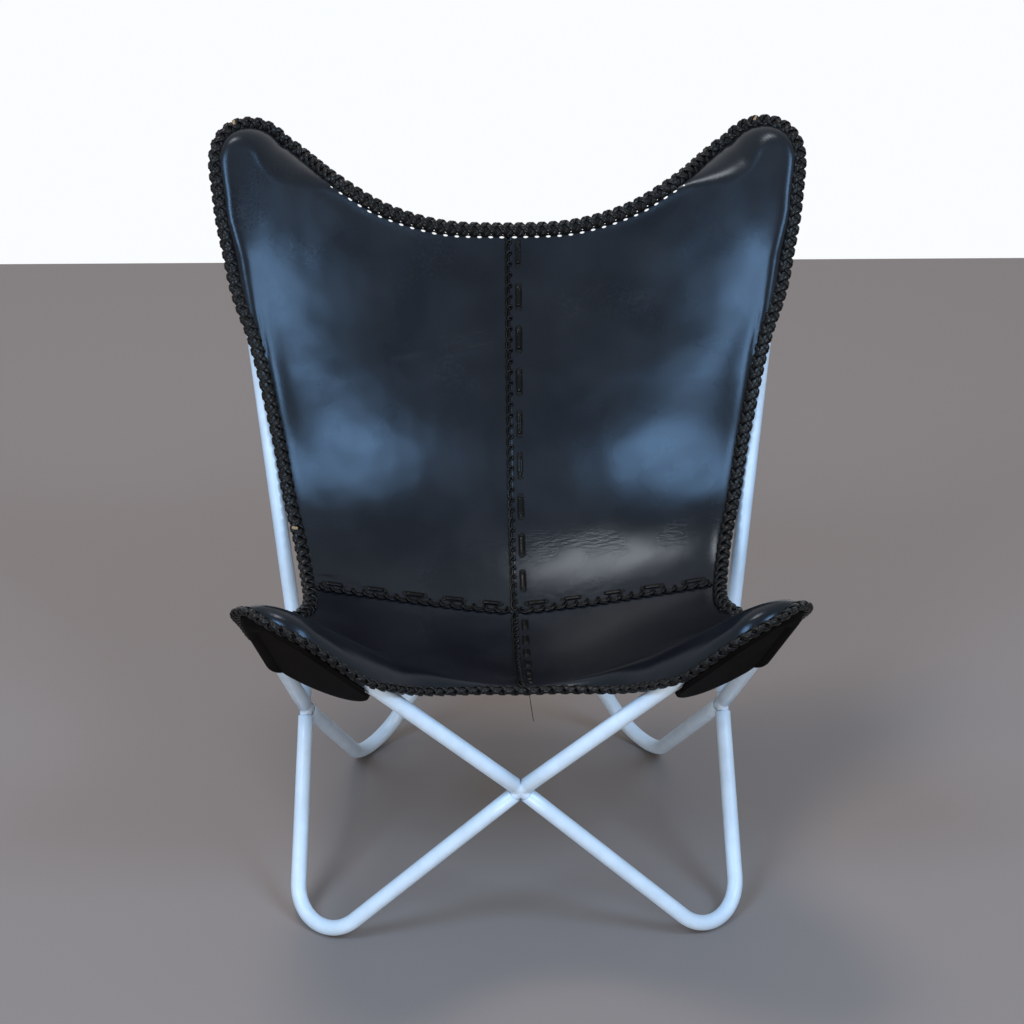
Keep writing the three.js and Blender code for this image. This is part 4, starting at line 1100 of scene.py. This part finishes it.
def hang(name, side, sheet, paint, uvs, outward=True):
    """A hide on the named side: its middle surface given thickness, and its area printed."""
    node, end, cut = HIDES[name]
    points, squares = sheet
    uvs = {key: np.concatenate([value.reshape(-1, 2)] * 2) for key, value in uvs.items()}
    made = dressed(f"{name}_leather_{side}", closed_sheet(points, squares), paint, f"{node}_{side}",
                   uvs, side == "left", outward)
    area = sheet_area(points)
    print(made.name, "area", round(area, 5))


class CHAIR_OT_panels(bpy.types.Operator):
    """Cuts and hangs the two halves of the back and of the seat."""

    bl_idname = "chair.panels"
    bl_label = "Leather panels"

    def execute(self, context):
        paint = leather_paint(context.scene.chair_sling)
        across = edge_steps(*ACROSS)
        for name, panel, up in (
                ("back", BACK, edge_steps(*BACK_UP)), ("seat", SEAT, 1 - edge_steps(*SEAT_UP)[::-1])):
            for number, side in enumerate(SIDES):
                points, squares, uv, rim_uv = panel_grid(panel, across, up, number)
                uvs = {"hide": uv, "rim": rim_uv}
                hang(name, side, (points, squares), paint, uvs)
        return {"FINISHED"}


def pocket_grid(panel, seam, bow, columns, rows):
    """A pocket: from its seam along the panel's rim to its bowed mouth, under the tube."""
    half = (HIDE + POCKET_GAP) / 2
    _, rim_drop = panel.nearest(*seam.T)
    drop = base_height(*seam.T) - rim_drop - half - plane_height(panel.run, *seam.T)
    rim = np.concatenate([seam, drop[:, None]], -1)
    shares = (np.arange(columns) + 1) / (columns + 1)
    place = resampled(np.linspace(0, 1, len(seam)), seam, shares)
    mouth_share = (1 - np.cos(np.pi * shares)) / 2
    tip = seam[len(seam) // 2]
    bulge = 1 + bow * np.sin(np.pi * mouth_share)[:, None]
    mouth = mix(tip, mix(seam[0], seam[-1], mouth_share[:, None]), bulge)
    down = (np.linspace(0, 1, rows) ** POCKET_CROWD)[:, None]
    x = mix(place[:, 0], mouth[:, 0], down)
    station = mix(place[:, 1], mouth[:, 1], down)
    distance, free = panel.nearest(x, station, rim)
    under = half + (STAND_OFF - half) * (1 - rolled(distance, ROLL_WIDTH))
    loose = free * (1 - ease(0, POCKET_FADE, distance))
    height = plane_height(panel.run, x, station) - under + loose
    points = clear_of(panel.run, sling_point(x, station, height), HIDE_CLEAR + POCKET_SLACK)
    return points, np.stack([x, arc_of(station)], -1) * MM


def pocket_seams():
    """The parts of the back's and of the seat's rim that the pockets are sewn to."""
    shares = np.linspace(0, 1, POCKET_SAMPLES)
    side, top = BACK_EDGES["side"](shares), BACK_EDGES["high"](shares)[::-1]
    station, share = REAR_POCKET
    rear = np.concatenate([side[side[:, 1] > station], top[top[:, 0] > share * REAR_TIP[0]][1:]])
    front, side = SEAT_EDGES["low"](shares), SEAT_EDGES["side"](shares)
    station, share = FRONT_POCKET
    return rear, np.concatenate([front[front[:, 0] > share * FRONT_TIP[0]], side[side[:, 1] < station][1:]])


class CHAIR_OT_pockets(bpy.types.Operator):
    """Sews the four pockets that the tube tips sit in."""

    bl_idname = "chair.pockets"
    bl_label = "Leather pockets"

    def execute(self, context):
        paint = flesh_paint(context.scene.chair_sling)
        rear_seam, front_seam = pocket_seams()
        for name, panel, seam, bow in (
                ("rear_pocket", BACK, rear_seam, REAR_MOUTH_BOW),
                ("front_pocket", SEAT, front_seam, FRONT_MOUTH_BOW)):
            points, uv = pocket_grid(panel, seam, bow, *POCKET_GRID)
            sheet = points, -grid_squares(points)
            for side in SIDES:
                hang(name, side, sheet, paint, {"hide": uv}, False)
        return {"FINISHED"}


# Thong work


def smoothed(values, reach):
    """A running mean round a closed line, with a bell of weights, reach samples wide."""
    pad = 3 * reach
    kernel = np.exp(-0.5 * (np.arange(-pad, pad + 1) / reach) ** 2)
    kernel /= kernel.sum()
    long = np.concatenate([values[-pad:], values, values[:pad]])
    return np.stack([np.convolve(long[:, k], kernel, "valid") for k in range(values.shape[1])], -1)


def ribbon(points, ups, width, thickness, corners=8, flat=(0.6, 0.8)):
    """A strap along a line: rings across it, the rounder the nearer both powers are to one, and its caps."""
    along = unit(np.gradient(points, axis=0))
    across = unit(np.cross(along, ups))
    up = np.cross(across, along)
    angle = circle(corners, 0.5)
    wide = np.sign(np.cos(angle)) * np.abs(np.cos(angle)) ** flat[0] * width / 2
    high = np.sign(np.sin(angle)) * np.abs(np.sin(angle)) ** flat[1] * thickness / 2
    return capped(hoops(points, across, wide, up, high))


class Rim:
    """The braid's line all round the sling, with its ways out and up, by length from the front's middle."""

    def __init__(self, width, thickness):
        self.width, self.thickness = width, thickness
        shares = np.linspace(0, 1, BRAID_SAMPLES)
        parts = [
            self.marks(SEAT, "low", shares), self.marks(SEAT, "side", shares),
            self.marks(BACK, "side", shares), self.marks(BACK, "high", shares[::-1])]
        middle, out, up = (np.concatenate(values) for values in zip(*parts))
        length = path_length(middle)
        wing, lobe, half = length[len(shares)], length[3 * len(shares)], length[-1]
        even = np.linspace(0, half, RIM_SAMPLES)
        middle, out, up = (resampled(length, values, even) for values in (middle, out, up))
        whole = [np.concatenate([values, (values[::-1] * (-1, 1, 1))[1:-1]]) for values in (middle, out, up)]
        whole = [smoothed(values, RIM_SMOOTHING) for values in whole]
        self.length = path_length(np.concatenate([whole[0], whole[0][:1]]))
        self.total = self.length[-1]
        self.middle, self.out, self.up = (np.concatenate([values, values[:1]]) for values in whole)
        scale = self.total / (2 * half)
        self.wing, self.lobe = wing * scale, lobe * scale

    def marks(self, panel, name, shares):
        """The braid's middle just outside the hide's edge, and the ways out and up there."""
        x, station = panel.edges[name](shares).T
        point = panel.point(x, station)
        drop = panel.drop(name, x, station)
        scale = centre_line(station)[3]
        d_x, d_station = np.gradient(x), np.gradient(station)
        turn = np.stack([d_station * scale, -d_x / scale], -1)
        span = np.hypot(turn[:, 0], turn[:, 1] * scale)[:, None]
        step = PROBE * turn / span

        def level(sign):
            at = (x + sign * step[:, 0], station + sign * step[:, 1])
            return sling_point(*at, base_height(*at) - drop)

        along = unit(np.gradient(point, axis=0))
        out = level(1) - level(-1)
        out = unit(out - np.sum(out * along, -1, keepdims=True) * along)
        up = unit(np.cross(out, along))
        sewn = panel.sewn[name](x, station)[:, None]
        rise = mix(self.thickness - HIDE, -(HIDE + POCKET_GAP), sewn) / 2
        middle = point + out * (LACE_GAP + self.width / 2 - LACE_LAP) + up * rise
        clear = TUBE_RADIUS + self.thickness / 2 + HIDE_GAP + HIDE_SAG
        return clear_of(panel.run, middle, clear), out, up

    def at(self, lengths):
        """Middle, outward and upward ways at lengths along the rim."""
        wrapped = np.mod(lengths, self.total)
        return (resampled(self.length, values, wrapped) for values in (self.middle, self.out, self.up))


def braid(rim, start, end, turn_length, strand):
    """Four strands round a flat core, two each way: width cos and height sin of the turn, over and under."""
    cover = STRAND_THICK
    length = np.linspace(start, end, max(8, int((end - start) / STRAND_STEP)))
    middle, out, up = rim.at(length)
    parts = []
    half_width, half_thick = rim.width / 2 - cover / 2, rim.thickness / 2 - cover / 2
    for hand in (1, -1):
        for first_turn in (0, np.pi):
            turn = hand * 2 * np.pi * length / turn_length + first_turn
            lift = hand * np.cos(4 * np.pi * length / turn_length) * cover * STRAND_LIFT_SHARE
            wide, high = np.cos(turn), np.sin(turn)
            normal = unit(moved(0, out, wide / half_width, up, high / half_thick))
            points = moved(middle, out, wide * half_width, up, high * half_thick)
            parts.append(ribbon(points + normal * lift[:, None], normal, strand, cover))
    core = np.linspace(start, end, max(4, int((end - start) / CORE_STEP)))
    middle, out, up = rim.at(core)
    angle = circle(CORE_SIDES)
    wide, high = np.cos(angle) * (half_width - cover), np.sin(angle) * (half_thick - cover)
    return joined(parts + [capped(hoops(middle, out, wide, up, high))])


def knot(rim, place):
    """A lace end that shows its tan cut side: a short strap bent over the braid."""
    angle = np.linspace(*KNOT_ARC, KNOT_STEPS) * np.pi
    middle, out, up = rim.at(place + np.linspace(-KNOT_LEAN, KNOT_LEAN, KNOT_STEPS))
    half_width, half_thick = rim.width / 2 + KNOT_LIFT[0], rim.thickness / 2 + KNOT_LIFT[1]
    points = moved(middle, out, np.cos(angle) * half_width, up, np.sin(angle) * half_thick)
    return ribbon(points, unit(points - middle), *KNOT_SIZE)


def loose_thread(rim):
    """A thin thread that hangs from the front of the braid in an open bend."""
    middle, out, _ = rim.at(np.array([THREAD]))
    share = np.linspace(0, 1, THREAD_STEPS)[:, None]
    near, bend = THREAD_OUT
    points = middle + out * (near + bend * np.sin(np.pi * share)) + np.array(THREAD_FALL) * share
    return ribbon(points, np.repeat(out, THREAD_STEPS, 0), THREAD_WIDE, THREAD_WIDE, 6)


class CHAIR_OT_lacing(bpy.types.Operator):
    """Braids the lace all round the sling's rim."""

    bl_idname = "chair.lacing"
    bl_label = "Edge lacing"

    def execute(self, context):
        props = context.scene.chair_thong
        paint = thong_paint("lace_leather", props.thong)
        rim = Rim(props.braid_width / MM, props.braid_thickness / MM)
        turns = round(rim.total / (props.braid_repeat / MM))
        turn_length = rim.total / turns
        spans = {
            "front": (-rim.wing, rim.wing), "right": (rim.wing, rim.lobe),
            "top": (rim.lobe, rim.total - rim.lobe), "left": (rim.total - rim.lobe, rim.total - rim.wing),
        }
        for side, (start, end) in spans.items():
            shape = braid(rim, start, end, turn_length, props.strand / MM)
            dressed(f"braid_{side}", shape, paint, f"edge_lacing_{side}")
        tan = plain_paint("tan_lace_end", props.knot, 0.6)
        dressed("tan_lace_ends", joined([knot(rim, place) for place in KNOTS]), tan)
        dressed("loose_thread", loose_thread(rim), paint)
        return {"FINISHED"}


def laid(panel, x, station, lift):
    """Points lifted off the hide's grain side, with the square way there."""
    up = panel.square(x, station)
    return panel.point(x, station) + up * (HIDE / 2 + lift)[:, None], up


def chain(length, middle, up, out, pitch, width, thong, thick):
    """A flattened, leaning coil: along pitch share + lean cos, across width sin, up and over itself."""
    turn = np.linspace(0, 2 * np.pi * length[-1] / pitch, int(length[-1] / pitch * LINK_STEPS))
    at = pitch * turn / (2 * np.pi) + CHAIN_LEAN_SHARE * pitch * np.cos(turn)
    at = np.clip(at, 0, length[-1])
    base, rise, side = (resampled(length, values, at) for values in (middle, up, out))
    half = (width - thong) / 2
    lift, swing = CHAIN_LIFT
    points = moved(base, side, np.sin(turn) * half, rise, thick * (lift + swing * np.cos(turn)))
    coil = ribbon(points, unit(rise), thong, thick, flat=(1, 1))
    step, lift, share, thin = CHAIN_CORE
    core_at = np.linspace(0, length[-1], max(4, int(length[-1] / step)))
    base, rise, side = (resampled(length, values, core_at) for values in (middle, up, out))
    core = ribbon(base + rise * lift, unit(rise), width * share, thin)
    return joined([coil, core])


def groove_shade(points, ups, reach):
    """Painted shade in the groove under a stitch: a thin, dark, flat strap with round ends, a little wider
    than the thong.
    """
    length = path_length(points)
    wanted = np.linspace(0, length[-1], GROOVE_SHADE_STEPS)
    place, up = resampled(length, points, wanted), unit(resampled(length, ups, wanted))
    across = unit(np.cross(up, np.gradient(place, axis=0)))
    from_end = np.minimum(wanted, length[-1] - wanted)
    half = reach * np.sqrt(np.clip(1 - (1 - np.clip(from_end / reach, 0, 1)) ** 2, 0.01, 1))
    low, high = GROOVE_SHADE_LIFTS
    return capped(np.stack([
        place + across * (half * side)[:, None] + up * lift
        for side, lift in ((-1, low), (-1, high), (1, high), (1, low))], 1))


def lip(points, ups, reach):
    """The raised edge of the hide round a stitch: a thin closed loop."""
    length = path_length(points)
    straight = max(length[-1] - 2 * reach, 1.0)
    angle = circle(LIP_STEPS)
    along = length[-1] / 2 + np.sign(np.cos(angle)) * straight / 2 + np.cos(angle) * reach
    side = np.sin(angle) * reach
    place, up = resampled(length, points, along), unit(resampled(length, ups, along))
    across = unit(np.cross(up, points[-1] - points[0]))
    middle = place + across * side[:, None]
    out = unit(moved(0, across, np.sin(angle), unit(points[-1] - points[0]), np.cos(angle)))
    turn = circle(LIP_SIDES)
    ring = hoops(middle, out, np.cos(turn) * LIP[0], up, np.sin(turn) * LIP[1])
    return ring.reshape(-1, 3), grid_faces(*ring.shape[:2], wrap_rows=True, wrap_columns=True).tolist()


class CHAIR_OT_chains(bpy.types.Operator):
    """Chains the panels together along the centre seam and the cross seam."""

    bl_idname = "chair.chains"
    bl_label = "Seam chains"

    def execute(self, context):
        props = context.scene.chair_thong
        paint = thong_paint("seam_thong_leather", props.seam_thong)
        pitch, width = props.chain_pitch / MM, props.chain_width / MM
        top, front = float(arc_of(TOP_EDGE)), float(arc_of(FRONT_EDGE))
        share, *thong = CENTRE_CHAIN
        at_edge, at_seam = CHAIN_ENDS
        for name, panel, start, end in (
                ("back", BACK, at_seam, top - at_edge), ("seat", SEAT, front + at_edge, -at_seam)):
            count = max(6, int(abs(end - start) / CENTRE_STEP))
            arc = np.linspace(start, end, count)
            points, up = laid(panel, np.ones(count), station_of(arc), np.full(count, CENTRE_LIFT))
            points[:, 0] = 0
            across = np.tile([1.0, 0, 0], (count, 1))
            up = unit(up * (0, 1, 1))
            shape = chain(path_length(points), points, up, across, pitch, width * share, *thong)
            dressed(f"centre_links_{name}", shape, paint, f"centre_chain_{name}")
        x, station = BACK_EDGES["low"](np.linspace(*CROSS_CHAIN_ENDS, CHAIN_SAMPLES)).T
        points, up = laid(BACK, x, station + CROSS_UP, np.full(len(x), CROSS_LIFT))
        out = unit(np.cross(up, np.gradient(points, axis=0)))
        share, *thong = CROSS_CHAIN
        shape = chain(path_length(points), points, up, out, pitch, width * share, *thong)
        for side in SIDES:
            dressed(f"cross_links_{side}", shape, paint, f"cross_chain_{side}",
                    left=side == "left")
        return {"FINISHED"}


def stitches(starts, length, width, thick, lay):
    """Flat stitches, each of which rises out of the hide, lies along it and dives back in; the painted shade
    of their grooves and holes, and the raised lips round them.
    """
    parts, painted_shades, lips = [], [], []
    for start in starts:
        along = np.linspace(start, start + length, STITCH_STEPS)
        share = (along - start) / length
        proud, deep = STITCH_LIFT
        lift = thick * (
            proud - deep * (1 - ease(*STITCH_RISES, share)) - deep * ease(*STITCH_DIVES, share))
        points, up = lay(along, lift)
        parts.append(ribbon(points, up, width, thick))
        along = np.linspace(start - SLIT_PAST, start + length + SLIT_PAST, SLIT_STEPS)
        points, up = lay(along, np.zeros(SLIT_STEPS))
        # painted shade: a dark strap in the groove under the stitch
        painted_shades.append(groove_shade(points, up, width / 2 + SLIT_BESIDE))
        lips.append(lip(points, up, width / 2 + SLIT_BESIDE))
        # painted shade: a dark dome over each hole that the thong dives into
        for end in (start + SLIT_PAST, start + length - SLIT_PAST):
            mouth = lay(np.array([end - 1, end, end + 1]), np.full(3, HOLE_SHADE_LIFT))
            painted_shades.append(hole_shade(*mouth, width * HOLE_SHADE_SHARE))
    return joined(parts), joined(painted_shades), joined(lips)


def hole_shade(points, ups, radius):
    """A shallow dark dome of painted shade over the hole that a thong dives into: rings of shrinking radius.
    """
    up, along = ups[1], unit(points[2] - points[0])
    across = np.cross(up, along)
    angle = circle(HOLE_SHADE_SIDES)
    ring = np.cos(angle)[:, None] * along * HOLE_SHADE_LONG + np.sin(angle)[:, None] * across
    return capped(np.stack([
        points[1] + ring * radius * share + up * lift
        for share, lift in HOLE_SHADE_DOME]))


class CHAIR_OT_stitches(bpy.types.Operator):
    """Runs a thong through cuts beside the centre seam and above the cross seam, with painted shade in the
    cuts.
    """

    bl_idname = "chair.stitches"
    bl_label = "Running thongs"

    def execute(self, context):
        props = context.scene.chair_thong
        paint = bpy.data.materials["seam_thong_leather"]
        pitch, long, wide = props.stitch_pitch / MM, props.stitch_length / MM, props.stitch_width / MM
        top, front = float(arc_of(TOP_EDGE)), float(arc_of(FRONT_EDGE))
        # near-black paint for the painted shade in the stitches' grooves and holes
        shade = plain_paint("slit_shade", (0.002, 0.002, 0.002), 0.8)
        edge = BACK_EDGES["low"](np.linspace(0, 1, THONG_SAMPLES))
        length = path_length(BACK.point(*edge.T))

        def beside(panel):
            return lambda arc, lift: laid(panel, np.full(len(arc), BESIDE_SEAM), station_of(arc), lift)

        def above(along, lift):
            x, station = resampled(length, edge, along).T
            return laid(BACK, x, station + ABOVE_SEAM / centre_line(station)[3], lift)

        def sew(kind, end, shapes):
            # the middle piece of each three is painted shade
            nodes, paints = (f"{kind}_thong_{end}", None, None), (paint, shade, paint)
            for name, shape, colour, node in zip(("stitches", "painted_shades", "lips"), shapes, paints, nodes):
                dressed(f"{kind}_{name}_{end}", shape, colour, node, left=end == "left")

        below_top, above_seam = BACK_STITCHES
        starts = np.arange(top - below_top - long, above_seam, -pitch)
        sew("running", "back", stitches(starts, long, wide, RUNNING_THICK, beside(BACK)))
        first, step, margin = SEAT_STITCHES
        starts = np.arange(first, front + margin, -step)
        sew("running", "seat", stitches(starts, SEAT_STITCH, wide, RUNNING_THICK, beside(SEAT)))
        starts = np.interp(CROSS_STITCHES, edge[:, 0], length)
        shapes = stitches(starts, CROSS_STITCH, wide, CROSS_THICK, above)
        for side in SIDES:
            sew("cross", side, shapes)
        return {"FINISHED"}


# Stage


def area_lamp(name, place, aim, power, width, height, tint):
    """A soft oblong lamp at a place, turned to its aim."""
    lamp = bpy.data.lights.new(name, "AREA")
    lamp.shape = "RECTANGLE"
    lamp.size, lamp.size_y, lamp.energy, lamp.color = width, height, power, tint
    made = bpy.data.objects.new(name, lamp)
    made.location = place
    made.rotation_mode = "QUATERNION"
    made.rotation_quaternion = (Vector(aim) - Vector(place)).to_track_quat("-Z", "Y")
    bpy.context.scene.collection.objects.link(made)


def lay_floor(scene, props):
    """A plain floor out to its reach, and to its rear edge behind the chair."""
    reach, rear = props.reach, props.rear
    mesh = bpy.data.meshes.new("plain_floor")
    corners = [(-reach, -reach, 0), (reach, -reach, 0), (reach, rear, 0), (-reach, rear, 0)]
    mesh.from_pydata(corners, [], [(0, 1, 2, 3)])
    floor = bpy.data.objects.new("plain_floor", mesh)
    scene.collection.objects.link(floor)
    paint = Paint("plain_floor")
    paint.surface({"Base Color": (*props.floor, 1.0), "Roughness": 0.6}, props.floor)
    mesh.materials.append(paint.material)


def light_all_round(scene, sky):
    """A pale world at full strength where it is seen or mirrored, and at the sky's strength elsewhere."""
    world = bpy.data.worlds.new("studio")
    scene.world = world
    world.use_nodes = True
    links, nodes = world.node_tree.links, world.node_tree.nodes
    background = nodes["Background"]
    background.inputs["Color"].default_value = (0.96, 0.98, 1.0, 1.0)
    seen = nodes.new("ShaderNodeLightPath")
    either = background.inputs["Strength"]
    for name in ("Is Camera Ray", "Is Glossy Ray", "Is Transmission Ray"):
        larger = nodes.new("ShaderNodeMath")
        larger.operation = "MAXIMUM"
        larger.inputs[1].default_value = sky
        links.new(seen.outputs[name], larger.inputs[0])
        links.new(larger.outputs[0], either)
        either = larger.inputs[1]


def place_camera(scene):
    """The photograph's camera, from its place, its turns and its focal length."""
    camera = bpy.data.cameras.new("photograph")
    camera.sensor_width = SENSOR
    camera.lens = FOCAL_SHARE * SENSOR
    yaw, pitch, roll = np.radians([CAMERA_YAW, CAMERA_PITCH, CAMERA_ROLL])
    ahead = np.array([np.sin(yaw) * np.cos(pitch), np.cos(yaw) * np.cos(pitch), np.sin(pitch)])
    right = np.array([np.cos(yaw), -np.sin(yaw), 0])
    up = np.cross(right, ahead)
    turned_right = right * np.cos(roll) + up * np.sin(roll)
    turned_up = up * np.cos(roll) - right * np.sin(roll)
    ways = Matrix((turned_right, turned_up, -ahead)).transposed()
    made = bpy.data.objects.new("photograph", camera)
    made.matrix_world = Matrix.Translation(CAMERA_PLACE) @ ways.to_4x4()
    scene.collection.objects.link(made)
    scene.camera = made


class CHAIR_OT_stage(bpy.types.Operator):
    """Lays the pale floor, hangs the lamps and places the camera."""

    bl_idname = "chair.stage"
    bl_label = "Floor, lamps and camera"

    def execute(self, context):
        props = context.scene.chair_stage
        lay_floor(context.scene, props)
        light_all_round(context.scene, props.sky)
        seat = (0, 0.1, 0.5)
        area_lamp("window_right", (2.06, -2.04, 3.18), seat, props.window, 1.3, 0.95, BLUE)
        area_lamp("window_left", (-1.85, -2.1, 3.28), seat, props.window, 1.2, 0.95, BLUE)
        area_lamp("ceiling", (-0.96, 0.70, 5.2), (0.0, 1.32, 0.4), props.ceiling, 1.0, 1.4, WARM)
        area_lamp("low_front", (-0.4, -3.4, 0.35), (0, 0, 0.3), props.fill, 1.6, 0.6, NEUTRAL)
        place_camera(context.scene)
        context.scene.view_settings.view_transform = "Standard"
        return {"FINISHED"}


class CHAIR_PT_panel(bpy.types.Panel):
    """Lists the chair's sizes, colours and steps."""

    bl_idname = "CHAIR_PT_panel"
    bl_label = "Sling chair"
    bl_space_type = "VIEW_3D"
    bl_region_type = "UI"
    bl_category = "Sling chair"

    def draw(self, context):
        for key in PROPS:
            box = self.layout.box()
            group = getattr(context.scene, key)
            for name in type(group).__annotations__:
                box.prop(group, name)
        for operator in OPERATORS:
            self.layout.operator(operator.bl_idname)


PROPS = {
    "chair_frame": ChairFrameProps, "chair_sling": SlingProps,
    "chair_thong": ThongProps, "chair_stage": StageProps,
}
OPERATORS = [
    CHAIR_OT_stage, CHAIR_OT_tubes, CHAIR_OT_crosses, CHAIR_OT_panels,
    CHAIR_OT_pockets, CHAIR_OT_lacing, CHAIR_OT_chains, CHAIR_OT_stitches,
]


def register():
    for made in (*PROPS.values(), *OPERATORS, CHAIR_PT_panel):
        bpy.utils.register_class(made)
    for key, group in PROPS.items():
        setattr(bpy.types.Scene, key, PointerProperty(type=group))


def unregister():
    for key in PROPS:
        delattr(bpy.types.Scene, key)
    for made in (CHAIR_PT_panel, *reversed(OPERATORS), *PROPS.values()):
        bpy.utils.unregister_class(made)


def main():
    """Builds every piece in order."""
    register()
    bpy.ops.chair.stage()
    bpy.ops.chair.tubes()
    bpy.ops.chair.crosses()
    bpy.ops.chair.panels()
    bpy.ops.chair.pockets()
    bpy.ops.chair.lacing()
    bpy.ops.chair.chains()
    bpy.ops.chair.stitches()


if __name__ == "__main__":
    main()
